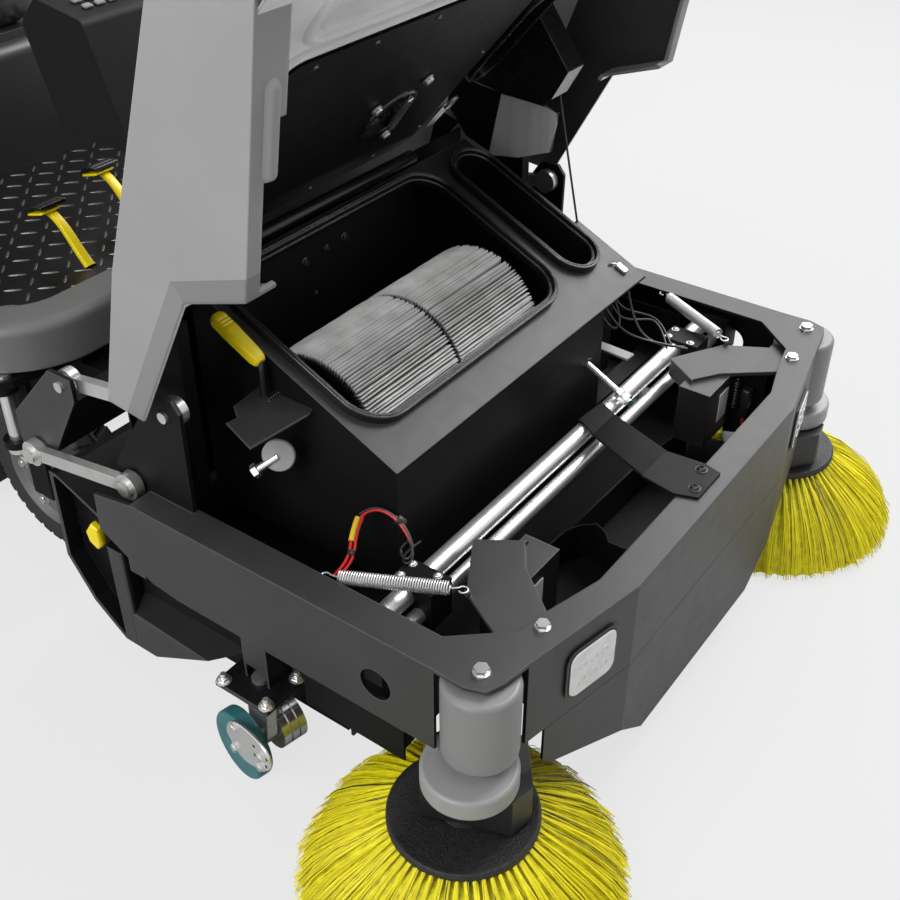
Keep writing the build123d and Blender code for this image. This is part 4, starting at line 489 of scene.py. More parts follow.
def make_finishes(look):
    """One material per finish, kept by name; a few of them paint shade or a reflection onto faces."""
    f = FINISHES
    f["coat"] = finish("powder coat", look.coat, 0.42, depth=0.00024, grain=1200, edge=0.7, edge_size=0.004,
                       blotch=0.12, shine=0.4)
    f["shell"] = finish("grained grey shell", look.shell, 0.5, depth=0.00026, grain=1000, edge=0.22, edge_size=0.007,
                        blotch=0.035, kind="voronoi")
    turned_edge(f["shell"])
    # painted shade: the sill takes the shell's grey darkened to 0.45
    f["sill"] = finish("sill moulding", tuple(c * 0.45 for c in look.shell), 0.42, depth=0.00022,
                       grain=1000, edge=0.3,
                       edge_size=0.007, blotch=0.06, kind="voronoi")
    f["roller"] = finish("bumper roller", look.roller, 0.42, depth=0.00008, grain=700, blotch=0.03, blotch_scale=4)
    f["disc"] = finish("roller disc", tuple(min(1, c * 1.4) for c in look.roller), 0.4, depth=0.00006, blotch=0.03)
    f["steel"] = finish("bright tube", (0.74, 0.74, 0.74), 0.33, 0.82, grain=60, depth=0.00002, blotch=0.05,
                        blotch_scale=9, streak=(0.3, 6, 6), rough_swing=0.08)
    f["zinc"] = finish("zinc plate", (0.70, 0.70, 0.68), 0.3, 0.88, grain=300, depth=0.00001, blotch=0.07,
                       blotch_scale=25, rough_swing=0.06)
    f["rubber"] = finish("black rubber", (0.009, 0.009, 0.0095), 0.36, depth=0.00008, grain=600, blotch=0.2, coat=0.1)
    f["black"] = finish("black plastic", (0.010, 0.010, 0.0105), 0.4, depth=0.00012, grain=1000,
                        blotch=0.12, edge=0.3)
    f["grey_zinc"] = finish("inner sheet", (0.035, 0.036, 0.038), 0.5, depth=0.0002, grain=1200, edge=0.35)
    f["pleat"] = finish("pleated felt", look.pleat, 0.85, depth=0.0003, grain=2200, blotch=0.22, blotch_scale=22,
                        sheen=0.25)
    shade_folds(f["pleat"])
    f["yellow"] = finish("yellow plastic", look.yellow, 0.36, depth=0.0001, grain=800, blotch=0.05, edge=0.15)
    f["bristle"] = finish("yellow bristle", look.bristle, 0.5, depth=0.00002, blotch=0.12, blotch_scale=60)
    f["teal"] = finish("teal tread", (0.035, 0.17, 0.19), 0.42, depth=0.00015, grain=500, blotch=0.22,
                       blotch_scale=30)
    f["tyre"] = finish("tyre", (0.022, 0.022, 0.023), 0.72, depth=0.0003, grain=500, blotch=0.2, blotch_scale=15)
    f["tread"] = finish("tread plate", (0.004, 0.004, 0.0042), 0.3, depth=0.0001, grain=700, blotch=0.2, shine=0.22)
    f["stud"] = finish("worn stud", (0.10, 0.10, 0.10), 0.24, 0.5, depth=0.0001, grain=700, blotch=0.3)
    f["vinyl"] = finish("seat vinyl", (0.018, 0.018, 0.02), 0.45, depth=0.0005, grain=420, blotch=0.1, kind="voronoi")
    f["lens"] = finish("clear lens", (0.8, 0.8, 0.81), 0.12, depth=0.0006, grain=60, blotch=0.12,
                       blotch_scale=30, coat=1.0)
    f["red"] = finish("red wire", (0.55, 0.01, 0.012), 0.35, blotch=0.05)
    f["amber"] = finish("yellow sleeve", (0.80, 0.52, 0.02), 0.4, blotch=0.05)
    f["white"] = finish("white plate", (0.78, 0.78, 0.77), 0.4, depth=0.00005, blotch=0.03)
    # painted shade: near-black for solids and faces that sit in shadow inside the machine
    f["inner"] = finish("unlit sheet", (0.0035, 0.0035, 0.0037), 0.55, depth=0.00018, grain=1300, edge=0.5,
                        blotch=0.2, shine=0.16)
    f["sheet"] = finish("lid sheet", (0.005, 0.005, 0.0053), 0.5, depth=0.0002, grain=1300, edge=0.4,
                        blotch=0.15, shine=0.12)
    f["gloss"] = finish("gloss moulding", (0.007, 0.007, 0.0075), 0.26, depth=0.00008, grain=500, edge=0.6,
                        edge_size=0.004, blotch=0.2, coat=0.3)
    # painted shade: a darker grey for the inward faces of the hood's wings, which sit in shadow
    f["shade"] = finish("wing lining", (0.045, 0.046, 0.048), 0.42, depth=0.0002, grain=1100, edge=0.3,
                        edge_size=0.004, kind="voronoi")
    # partly painted reflection: the lining's real light grey is raised near white where it catches the light
    f["lining"] = finish("ribbed lining", (0.9, 0.9, 0.9), 0.36, depth=0.0004, grain=160, blotch=0.1,
                         streak=(1, 4, 0.15), edge=0.3, edge_size=0.004)
    f["chrome"] = finish("chromed steel", (0.85, 0.85, 0.83), 0.2, 0.9, grain=80, depth=0.00001, blotch=0.06,
                         blotch_scale=25, rough_swing=0.06)
    f["spring"] = finish("spring wire", (0.62, 0.62, 0.62), 0.34, 0.75, grain=400, depth=0.00003, blotch=0.1,
                         blotch_scale=40)
    f["caked"] = finish("dusty disc", (0.008, 0.008, 0.008), 0.55, depth=0.0016, grain=220, edge=0.2, blotch=0.6,
                        blotch_scale=70, rough_swing=0.2)
    f["gun"] = finish("blackened screw", (0.12, 0.12, 0.12), 0.3, 0.9, grain=300, depth=0.00001, blotch=0.1)
    f["under"] = finish("bristle root", (0.9, 0.73, 0.004), 0.6, grain=300, depth=0.001, blotch=0.5, blotch_scale=60)
    lift_strands(f["bristle"])
    f["brush"] = finish("dark bristle", (0.03, 0.03, 0.033), 0.4, blotch=0.3, blotch_scale=50)


NODE_FINISH = {
    "coat": ["squeegee", "scrub_deck", "rear_axle"],
    # painted shade: these solids sit in shadow inside the machine and take the near-black unlit sheet
    "inner": ["sweep_tunnel", "hinge_towers", "bulkhead", "knuckle_left", "knuckle_right"],
    "sheet": ["filter_lid", "tube_mounts"],
    "gloss": ["fan_unit"],
    "sill": ["platform_sill"],
    "shell": ["rear_tank"],
    "roller": ["corner_roller_left", "corner_roller_right"],
    "zinc": ["link_arms", "castor_fork_left", "castor_fork_right"],
    "chrome": ["pivot_pins"],
    "steel": ["cross_tubes"],
    "rubber": ["filter_seals", "rubber_strips", "suction_hose"],
    "black": ["steering_column", "tank_lid", "headlamps", "battery", "dash_console", "seat_console"],
    "tyre": ["front_wheel_left", "front_wheel_right", "rear_wheel_left", "rear_wheel_right"],
    "tread": ["platform_deck"],
    "vinyl": ["seat_cushion", "seat_back", "steering_wheel"],
    "brush": ["sweep_roller", "scrub_roller_front", "scrub_roller_rear"],
}


# ---------- settings ----------
class ScrubberLook(bpy.types.PropertyGroup):
    coat: bpy.props.FloatVectorProperty(name="Frame coat", description="Dark powder coat of the steel frame",
                                        subtype="COLOR", size=3, default=(0.034, 0.034, 0.035))
    shell: bpy.props.FloatVectorProperty(name="Shells", description="Grained grey plastic of hood, sill and tanks",
                                         subtype="COLOR", size=3, default=(0.315, 0.316, 0.318))
    roller: bpy.props.FloatVectorProperty(name="Bumper rollers", description="Grey of the two corner rollers",
                                          subtype="COLOR", size=3, default=(0.225, 0.225, 0.226))
    yellow: bpy.props.FloatVectorProperty(name="Yellow controls", description="Pedals, lever grip and handle",
                                          subtype="COLOR", size=3, default=(0.95, 0.74, 0.002))
    bristle: bpy.props.FloatVectorProperty(name="Bristles", description="Nylon of the side brushes",
                                           subtype="COLOR", size=3, default=(1.0, 0.83, 0.003))
    pleat: bpy.props.FloatVectorProperty(name="Filter felt", description="Pleated filter medium",
                                         subtype="COLOR", size=3, default=(0.9, 0.885, 0.87))


class ScrubberSizes(bpy.types.PropertyGroup):
    tufts: bpy.props.IntProperty(name="Tufts", description="Bristle tufts in each side brush's outer ring",
                                 default=58, min=24, max=90)
    strand: bpy.props.FloatProperty(name="Bristle radius", description="Radius of one bristle at its root",
                                    subtype="DISTANCE", unit="LENGTH", default=0.00115, min=0.0003, max=0.002)
    pleats: bpy.props.IntProperty(name="Pleats", description="Folds round the filter cartridge", default=126, min=40,
                                  max=160)
    coils: bpy.props.IntProperty(name="Spring coils", description="Turns of each brush arm spring",
                                 default=44, min=20, max=60)
    stud: bpy.props.FloatProperty(name="Stud pitch", description="Distance between the floor plate's raised bars",
                                  subtype="DISTANCE", unit="LENGTH", default=0.047, min=0.015, max=0.06)


# ---------- pieces ----------
class SCRUBBER_OT_stage(bpy.types.Operator):
    """Camera, pale floor, soft lamps and world"""
    bl_idname = "scrubber.stage"
    bl_label = "Stage"

    def execute(self, context):
        scene = context.scene
        cam = bpy.data.objects.new("camera", bpy.data.cameras.new("camera"))
        scene.collection.objects.link(cam)
        cam.data.lens, cam.data.sensor_width = 47.39, 36.0
        cam.data.clip_start, cam.data.clip_end = 0.05, 60
        look = unit(np.array([0.6546, 0.4730, -0.5898]))
        right = unit(np.cross(look, [0, 0, 1]))
        up = np.cross(right, look)
        turn = Matrix([[right[i], up[i], -look[i]] for i in range(3)]).to_4x4()
        cam.matrix_world = Matrix.Translation(Vector(at([-1559, -646, 1714]))) @ turn
        scene.camera = cam
        FINISHES["floor"] = finish("studio floor", (0.56, 0.56, 0.56), 0.7, blotch=0.004)
        self.even(FINISHES["floor"])
        s = FLOOR_REACH
        floor = put("floor", [(-s, -s, 0), (s, -s, 0), (s, s, 0), (-s, s, 0)], [(0, 1, 2, 3)], "floor", None, False)
        self.lamp("key", (-4.2, -0.4, 3.0), (0.0, 0.0, 0.5), 2.8, 150)
        self.lamp("top", (-0.3, -2.0, 4.6), (0, -0.7, 0.5), 3.0, 32)
        self.lamp("brow", (3.15, -1.5, 4.3), (-0.1, -0.8, 0.6), 2.4, 190)
        self.lamp("sheen", (3.8, 0.6, 3.7), (0.1, 0.1, 0.6), 3.9, 150)
        self.lamp("front", (-0.6, -4.4, 2.0), (0, -0.6, 0.4), 2.4, 3)
        world = scene.world or bpy.data.worlds.new("studio")
        scene.world = world
        g = Graph(world)
        g.nodes.clear()
        path = g.add("LightPath").outputs
        direct = g.maths("Math", "MAXIMUM", path["Is Camera Ray"], path["Is Transmission Ray"])
        shown = g.maths("Math", "MAXIMUM", path["Is Glossy Ray"], direct)
        seen = g.add("Background", {"Color": (0.86, 0.86, 0.865, 1)})
        lit = g.add("Background", {"Color": (1, 1, 1, 1), "Strength": 0.2})
        mix = g.add("MixShader", {"Fac": shown, 1: lit.outputs[0], 2: seen.outputs[0]})
        g.add("OutputWorld", {"Surface": mix.outputs[0]})
        scene.view_settings.view_transform = "Standard"
        return {"FINISHED"}

    def even(self, m):
        """The floor as the camera sees it: mostly one even pale tone, with its lit colour and shadows laid over."""
        g = Graph(m)
        glow = g.add("Emission", {"Color": (FLOOR_TONE, FLOOR_TONE, FLOOR_TONE, 1)})
        share = g.maths("Math", "MULTIPLY", g.add("LightPath").outputs["Is Camera Ray"], SEEN_SHARE)
        mix = g.add("MixShader", {0: share, 1: g.nodes["Principled BSDF"].outputs[0], 2: glow.outputs[0]})
        g.join(g.first("OUTPUT_MATERIAL"), {"Surface": mix.outputs[0]})

    def lamp(self, name, place, aim, size, power):
        """A soft square lamp at place, turned to aim."""
        lamp = bpy.data.lights.new(name, "AREA")
        lamp.size, lamp.energy = size, power
        o = bpy.data.objects.new(name, lamp)
        bpy.context.scene.collection.objects.link(o)
        way = Vector(aim) - Vector(place)
        o.matrix_world = Matrix.Translation(Vector(place)) @ way.to_track_quat("-Z", "Y").to_matrix().to_4x4()


class SCRUBBER_OT_finishes(bpy.types.Operator):
    """Every solid's own finish"""
    bl_idname = "scrubber.finishes"
    bl_label = "Finishes"

    def execute(self, context):
        make_finishes(context.scene.scrubber_look)
        for key, names in NODE_FINISH.items():
            for name in names:
                paint(name, key)
        self.faces()
        return {"FINISHED"}

    def faces(self):
        """Solids whose faces differ: outer faces keep the coat; faces that look inwards are dark, a painted shade."""
        side = lambda c, n: n[:, 0] * np.sign(c[:, 0])
        paint("front_frame", "inner", ("coat", lambda c, n: (n[:, 2] > 0.5) & (c[:, 2] > 470)),
              ("coat", lambda c, n: (side(c, n) > 0.3) & (np.abs(c[:, 0]) > 590)),
              ("coat", lambda c, n: (n[:, 1] < -0.3) & (c[:, 1] < -40)))
        paint("nose_apron", "inner", ("coat", lambda c, n: n[:, 1] < -0.2))
        paint("filter_housing", "inner", ("coat", lambda c, n: (n[:, 2] > 0.8) & (n[:, 1] < -0.3)))
        paint("chassis_frame", "inner", ("coat", lambda c, n: (np.abs(n[:, 0]) > 0.7) & (np.abs(c[:, 0]) > 555)))
        # painted shade: the hopper's inner walls take the near-black sheets; its outermost side faces keep the coat
        paint("hopper", "inner", ("coat", lambda c, n: (np.abs(c[:, 0]) > 598) & (side(c, n) > 0.7)),
              ("sheet", lambda c, n: (np.abs(c[:, 0]) < 598) & (side(c, n) > 0.2)))
        for hand in ("left", "right"):
            paint(f"brush_arm_{hand}", "black", ("coat", lambda c, n: c[:, 2] > 440),
                  ("disc", lambda c, n: (c[:, 2] > 257) & (c[:, 2] < 298)
                   & (np.hypot(np.abs(c[:, 0]) - 609, c[:, 1] - 4) < 78)))
            out = lambda c: ((np.abs(c[:, 0]) - CASTOR_X) * math.cos(CASTOR_TURN)
                             + (c[:, 1] - CASTOR_Y) * math.sin(CASTOR_TURN))
            paint(f"castor_wheel_{hand}", "teal", ("chrome", lambda c, n: out(c) < 12))
        paint("lock_lever", "coat", ("yellow", lambda c, n: (c[:, 2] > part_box("lock_lever")[0].z * 1000 + 61.2)
                                     & (c[:, 0] < -HALF_HOUSING - 5)))
        paint("dash_console", "inner")
        face = unit(lid([[0, 0, 1]])[0] - lid([[0, 0, 0]])[0])
        # painted shade on the wings' inward faces and on faces 439.5 to 447 mm out; the faces 430 to 437 mm out and
        # those towards the lid take the whitened lining, partly a painted reflection
        paint("hood_shell", "shell", ("shade", lambda c, n: (side(c, n) < -0.7) & (np.abs(c[:, 0]) > 590)),
              ("lining", lambda c, n: ((np.abs(c[:, 0]) > 430) & (np.abs(c[:, 0]) < 437)) | (n @ face > 0.95)),
              ("inner", lambda c, n: (np.abs(c[:, 0]) > 439.5) & (np.abs(c[:, 0]) < 447)))


class SCRUBBER_OT_side_brushes(bpy.types.Operator):
    """Flared bristle rings and their dark discs"""
    bl_idname = "scrubber.side_brushes"
    bl_label = "Side brushes"

    def execute(self, context):
        sizes = context.scene.scrubber_sizes
        for k, hand in enumerate(("left", "right")):
            lo, hi = in_mm(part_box(f"side_brush_{hand}"))
            x, y = ((lo + hi) / 2)[:2]
            reach = (hi[0] - lo[0]) / 2
            self.bristles(hand, x, y, reach, sizes, 7 + k)
            self.skirt(hand, x, y, reach)
            self.disc(hand, x, y)
        return {"FINISHED"}

    def bristles(self, hand, x, y, reach, sizes, seed):
        """Tufts stand in three rings; a tuft's root is one hole, its tips fan out round the tuft's own angle and
        reach, and each bristle's height falls from the disc to just above the floor."""
        rng = np.random.default_rng(seed)
        rows = ((118, 1.0, sizes.tufts, 34), (100, 0.93, sizes.tufts - 6, 26), (80, 0.84, sizes.tufts - 14, 20))
        roots, tips, bends = [], [], []
        for root_r, far, count, per in rows:
            tuft = np.repeat(np.arange(count), per)
            a = (tuft + 0.5 * (root_r == 100)) * 2 * math.pi / count
            n = len(a)
            pull = rng.normal(0, 0.012, count)[tuft]
            spread = rng.normal(0, 0.030, n)
            r0 = root_r + rng.uniform(-3, 3, n)
            r1 = reach * far * (0.985 - 0.07 * rng.random(n) ** 1.6 - 0.03 * rng.random(count)[tuft])
            a0 = a + rng.normal(0, 0.010, n)
            a1 = a + pull + spread
            z0 = 160 + rng.uniform(-2, 2, n)
            z1 = 4 + 26 * rng.random(n) ** 1.5 + (1 - far) * 40
            roots.append(np.stack([x + r0 * np.cos(a0), y + r0 * np.sin(a0), z0], 1))
            tips.append(np.stack([x + r1 * np.cos(a1), y + r1 * np.sin(a1), z1], 1))
            bends.append(np.stack([16 * np.cos(a), 16 * np.sin(a), np.full(n, 16.0)], 1)
                         + rng.normal(0, 2.0, (n, 3)))
        roots, tips, bends = (np.concatenate(q) for q in (roots, tips, bends))
        dark = rng.random(len(roots)) < 0.035
        thick = sizes.strand * 1000 * rng.uniform(0.8, 1.15, len(roots))
        for name, pick, mat in (("bristles", ~dark, "bristle"), ("dark_bristles", dark, "brush")):
            p = strands(roots[pick], tips[pick], bends[pick], thick[pick], seed)
            made = piece(f"side_{name}_{hand}", p, mat, f"side_brush_{hand}", slot="bristles")
            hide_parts(f"side_brush_{hand}")

    def skirt(self, hand, x, y, reach):
        """The dense inside of the ring: a cone whose edge waves from tuft to tuft, under the drawn bristles."""
        a = circle(232)
        wave = 1 + 0.012 * np.cos(58 * a)
        rings = []
        for r, z in ((70, 150), (108, 154), (150, 136), (200, 96), (240, 52), (reach * 0.93, 14), (reach * 0.86, 8),
                     (150, 60), (70, 140)):
            rings.append(np.stack([x + r * wave * np.cos(a), y + r * wave * np.sin(a), np.full(232, z - 2.0)], 1))
        made = piece(f"bristle_root_{hand}", np.stack(rings)[None], "under", f"side_brush_{hand}",
                     slot="bristles")
        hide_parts(f"side_brush_{hand}")

    def disc(self, hand, x, y):
        """A turned plate with a raised rim, and the hub up to the motor."""
        p = turned([(0, 152), (60, 152), (112, 156), (122, 160), (122.0, 169), (119, 173), (114, 173), (110, 171.5),
                    (36, 172.5), (34, 179.6), (0, 179.6)],
                   (x, y, 0), (0, 0, 1), 72)
        piece(f"brush_disc_{hand}", p, "caked", f"side_brush_{hand}", slot="black_plastic")


class SCRUBBER_OT_springs(bpy.types.Operator):
    """Brush arm springs as wound wire with end loops"""
    bl_idname = "scrubber.springs"
    bl_label = "Springs"

    def execute(self, context):
        coils = context.scene.scrubber_sizes.coils
        lo, hi = in_mm(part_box("arm_springs"))
        z = (lo[2] + hi[2]) / 2
        for sign, hand in SIDES:
            a, b = np.array([458.0, 116, z]), np.array([564.0, 320, z])
            a[0] *= sign
            b[0] *= sign
            d = unit(b - a)
            n = np.linalg.norm(b - a)
            w = np.array([0, 0, 1.0])
            u = np.cross(d, w)
            t = np.linspace(0, 1, coils * 14)
            turn = t * coils * 2 * math.pi
            r = 10.6 * np.minimum(1, np.minimum(t, 1 - t) * coils * 0.9 + 0.25)
            path = (a + d * (26 + (n - 52) * t)[:, None]
                    + r[:, None] * (u * np.cos(turn)[:, None] + w * np.sin(turn)[:, None]))
            loops = []
            for end, way in ((a, d), (b, -d)):
                q = np.linspace(-2.6, 2.6, 26)
                c = end + way * 7
                eye = c - way * (7.5 * np.cos(q))[:, None] + u * (7.5 * np.sin(q))[:, None]
                neck = end + way * 26
                loops.append(tube(np.concatenate([eye, [neck]]), 1.4, 8))
            parts = [tube(path, 1.5, 6)] + loops
            made = bundle(f"arm_spring_coil_{hand}", parts, "spring", slot="zinc")
            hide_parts("arm_springs")
        return {"FINISHED"}


class SCRUBBER_OT_lamps(bpy.types.Operator):
    """Headlamp lenses with six bright dots behind them"""
    bl_idname = "scrubber.lamps"
    bl_label = "Lamps"

    def execute(self, context):
        for sign, hand in SIDES:
            a, b = np.array([300.0 * sign, -95, 0]), np.array([545.0 * sign, -45, 0])
            d = unit(b - a)
            normal = np.array([d[1] * sign, -abs(d[0]), 0])
            mid = (a + b) / 2 - d * 21 + normal * 4.0
            mid[2] = 385
            place = basis(mid, normal)
            bezel = bead(rounded(-55, 55, -49, 49, 20, 8), 3.4, 0.8, place)
            piece(f"lamp_bezel_{hand}", bezel, "black", slot="black_plastic")
            lens = slab(rounded(-51, 51, -45, 45, 18, 8), 3.2, place, 1.4)
            piece(f"lamp_lens_{hand}", lens, "lens", slot="lamp")
            dots = [(u, v) for u in (-25, 0, 25) for v in (-16, 15)]
            parts = []
            for u, v in dots:
                bow = np.linspace(math.radians(200), math.radians(500), 22)
                arc = np.stack([u + 7 * np.cos(bow), v + 7 * np.sin(bow), np.full(22, 3.0)], 1)
                parts.append(tube(place(arc), 1.3, 6))
            bundle(f"lamp_dots_{hand}", parts, "spring", slot="lamp")
        return {"FINISHED"}


class SCRUBBER_OT_fasteners(bpy.types.Operator):
    """Bolts and screws where the machine has them"""
    bl_idname = "scrubber.fasteners"
    bl_label = "Fasteners"

    def execute(self, context):
        up = (0, 0, 1)
        add_heads("bracket_screws", "dome", "black", "chassis",
                  [(18, -42, 480, *up, 8.5), (-36, -56, 480, *up, 8.5)])
        link = []
        for sign in (1, -1):
            for x, y, z, r in ((560, 620, 655, 8), (589, 722, 482, 12.5), (560, 883, 612, 8), (589, 985, 439, 12.5)):
                link.append((sign * x, y, z, sign, 0, 0, r))
        add_heads("link_bolts", "hex", "chrome", "chassis", link)
        clamp = [(s * x, y, 449, 0, 0, 1, 6) for s in (1, -1) for x, y in ((440, 236), (440, 186), (472, 236))]
        add_heads("clamp_screws", "dome", "zinc", "chassis", clamp)
        rear = [(x, 711, z, 0, -1, 0, r) for x, z,
                r in ((-133, 715, 6), (-72, 718, 5), (-22, 721, 6.5), (-110, 640, 4))]
        add_heads("housing_rear_screws", "hex", "gun", "chassis", rear)
        return {"FINISHED"}


class SCRUBBER_OT_floor_plate(bpy.types.Operator):
    """Raised bars of the driver's floor plate, each turned across its neighbours"""
    bl_idname = "scrubber.floor_plate"
    bl_label = "Floor plate"

    def execute(self, context):
        pitch = context.scene.scrubber_sizes.stud * 1000
        (_, y0, _), (half, y1, z) = in_mm(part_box("platform_deck"))
        gx, gy = np.meshgrid(np.arange(pitch / 2, half - 12, pitch), np.arange(y0 + 14, y1 - 8, pitch))
        x, y = np.concatenate([gx.ravel(), -gx.ravel()]), np.concatenate([gy.ravel()] * 2)
        r = 110.0
        corner = np.hypot(np.maximum(np.abs(x) - (half - r), 0), np.maximum(y0 + r - y, 0))
        keep = corner < r - 12
        x, y = x[keep], y[keep]
        cell = np.round((x + half) / pitch - 0.5) + np.round((y - y0) / pitch)
        turn = np.where(cell % 2 == 0, math.pi / 4, -math.pi / 4)
        s = np.linspace(-1, 1, 7)
        width = np.sqrt(np.maximum(1 - s ** 2, 0)) * 3.6
        cross = np.linspace(-1, 1, 5)
        u = np.repeat(s[:, None] * 20, 5, 1)
        v = width[:, None] * cross
        tall = np.where(turn < 0, 2.6, 1.0)[:, None, None]
        h = tall * np.sqrt(np.maximum(1 - s[:, None] ** 2, 0)) * (1 - cross ** 4)
        c, n = np.cos(turn)[:, None, None], np.sin(turn)[:, None, None]
        p = np.stack([x[:, None, None] + c * u - n * v, y[:, None, None] + n * u + c * v,
                      z + h - 0.15], -1)
        piece("floor_bars", p, "stud", wrap_v=False, slot="tread_plate")
        return {"FINISHED"}


class SCRUBBER_OT_filter(bpy.types.Operator):
    """Pleated cartridge in two lengths on a dark core"""
    bl_idname = "scrubber.filter"
    bl_label = "Filter"

    def execute(self, context):
        rng = np.random.default_rng(11)
        for k, (x0, x1) in enumerate(((-330, -87.5), (-77.5, 165))):
            self.pleats(f"filter_pleats_{k}", x0, x1, context.scene.scrubber_sizes.pleats, rng)
        core = turned([(0, -325), (98, -325), (104, -326), (111, -322), (111, 157), (104, 161), (98, 160), (0, 160)],
                      (0, CART_Y, CART_Z), (1, 0, 0), 72)
        made = piece("filter_core", core, "inner", slot="black_plastic")
        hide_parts("filter_cartridge")
        return {"FINISHED"}

    def pleats(self, name, x0, x1, count, rng):
        """Radius against angle is a rounded zigzag, r = valley, flank, ridge, flank in turn; each fold leans and
        swells a little, and its lean drifts along x. The ends turn in to the valley radius."""
        x = np.linspace(x0, x1, 11)
        turn = np.tile([0.0, 0.24, 0.5, 0.76], count) + np.repeat(np.arange(count), 4)
        deep = np.tile([119.0, 130.2, 134.8, 130.2], count)
        lean = rng.normal(0, 0.13, count)[:, None] + np.cumsum(rng.normal(0, 0.05, (count, 11)), 1)
        swell = rng.normal(0, 0.55, (count, 11))
        lean, swell = np.repeat(lean, 4, 0).T, np.repeat(swell, 4, 0).T
        ridge = np.tile([0, 0.9, 1.0, 0.9], count)
        a = (turn + lean * ridge) * 2 * math.pi / count
        r = np.minimum(deep + swell * ridge, 135.3)
        p = np.stack([np.broadcast_to(x[:, None], a.shape), CART_Y + r * np.cos(a), CART_Z + r * np.sin(a)], -1)
        ends = []
        for row, way in ((0, 1), (-1, -1)):
            q = p[row].copy()
            q[:, 0] += 13 * way
            q[:, 1] = CART_Y + 110 * np.cos(a[row])
            q[:, 2] = CART_Z + 110 * np.sin(a[row])
            ends.append(q[None])
        made = piece(name, np.concatenate([ends[0], p, ends[1]])[None], "pleat", slot="pleat_media")
        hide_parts("filter_cartridge")


class SCRUBBER_OT_lid_gear(bpy.types.Operator):
    """Latch, screws, stiffening beads and hinge roll on the open lid and its lining"""
    bl_idname = "scrubber.lid_gear"
    bl_label = "Lid gear"

    def execute(self, context):
        normal = unit(lid([[0, 0, 1]])[0] - lid([[0, 0, 0]])[0])
        spots = [(-377, -8), (-244, -8), (-96, -8), (40, -8), (170, 20), (226, 205), (236, 440), (-420, 120),
                 (-425, 300), (120, 478), (-60, 482), (-240, 482)]
        places = [(*lid([[x, s, 0]])[0], *normal, 5.0) for x, s in spots]
        add_heads("lid_screws", "dome", "gun", "hood", places)
        latch = [(*lid([[x, s, 3]])[0], *normal, 8.0) for x, s in ((62, 208), (-55, 240), (75, 376))]
        add_heads("latch_bolts", "hex", "zinc", "hood", latch)
        plate = turned([(0, 1), (44, 1), (48, 2.5), (52, 5), (60, 5), (63, 3), (64, -0.2)], lid([[22, 292, 0]])[0],
                       normal, 64)
        piece("latch_plate", plate, "gloss", "hood", slot="black_plastic")
        way = unit([22, 108])
        along = np.linspace(-1, 1, 15)
        half = 8.5 * (1 - along ** 6) ** 0.5 + 0.01
        mid = np.array([41.0, 288]) + along[:, None] * 58 * way
        outline = np.concatenate([mid + half[:, None] * [-way[1], way[0]],
                                  (mid - half[:, None] * [-way[1], way[0]])[::-1]])
        bar = slab(outline, 8, lambda p: lid(p + [0, 0, 7.0]), 2.0)
        piece("latch_bar", bar, "chrome", "hood", slot="zinc")
        stub = turned(rod(11, 0.5, 8), lid([[41, 288, 0]])[0], normal, 24)
        piece("latch_stub", stub, "black", "hood", slot="black_plastic")
        self.beads()
        self.bracket(normal)
        roll = turned([(0, -400), (12, -400), (14, -397), (14, 228), (12, 231), (0, 231)], (0, HINGE_Y, HINGE_Z),
                      (1, 0, 0), 24)
        piece("hinge_roll", roll, "rubber", "hood", slot="black_rubber")
        return {"FINISHED"}

    def beads(self):
        """Rounded ribs pressed into the lining: one round the lid's corner, one round the long pocket ahead of it."""
        around = rounded(-478, 244, -62, 470, 46, 8)
        keep = around[(around[:, 1] < 330) & (around[:, 0] < 200)]
        order = np.argsort(np.where(keep[:, 1] > -20, -keep[:, 1], keep[:, 0] + 2000))
        path = lid(np.concatenate([keep[order], np.full((len(keep), 1), 2.0)], 1))
        rib = tube(smooth_line(path, 60), 7.0, 14)
        pocket = bead(rounded(-462, 214, -236, -84, 44, 8), 9, 7, lid)
        inner = bead(rounded(-440, 192, -216, -104, 30, 8), 4, 3, lid)
        bundle("lining_ribs", [rib, pocket, inner], "lining",
               "hood", slot="grey_shell")

    def bracket(self, normal):
        """Small steel catch beside the lid's far corner: a flat plate with a raised lug and two bolts."""
        plate = slab(rounded(258, 292, 372, 452, 8, 5), 4, lambda p: lid(p + [0, 0, 1.0]), 1.0)
        lug = slab(rounded(264, 286, 352, 390, 10, 6), 5, lambda p: lid(p + [0, 0, 5.0]), 1.0)
        bundle("lid_catch", [plate, lug], "zinc", "hood", slot="zinc")
        add_heads("lid_catch_bolts", "hex", "zinc", "hood",
                  [(*lid([[x, s, 2]])[0], *normal, 3.5) for x, s in ((275, 402), (275, 436))])


class SCRUBBER_OT_wing_pads(bpy.types.Operator):
    """Long raised pads on the turned-in edges of the hood's wings"""
    bl_idname = "scrubber.wing_pads"
    bl_label = "Wing pads"

    def execute(self, context):
        tilt = math.atan2(482 - 526, 484 - 84)
        for sign, hand in SIDES:
            def place(p, sign=sign):
                q = np.stack([sign * p[..., 0], 250 + p[..., 1] * math.cos(tilt) + p[..., 2] * math.sin(tilt),
                              507.74 + p[..., 1] * math.sin(tilt) - p[..., 2] * math.cos(tilt)], -1)
                return opened(q)
            outline = rounded(560, 582, -66, 66, 10, 7)
            rings = ring_of(outline, [(2.5, -0.3), (0, 3), (-2.5, 6.5), (-5.5, 8), (-9.5, 8.4)])
            cap = np.repeat(rings[-1:].mean(1, keepdims=True), len(outline), 1)
            piece(f"wing_pad_{hand}", place(np.concatenate([rings, cap]))[None], "shell", "hood",
                  slot="grey_shell")
        return {"FINISHED"}


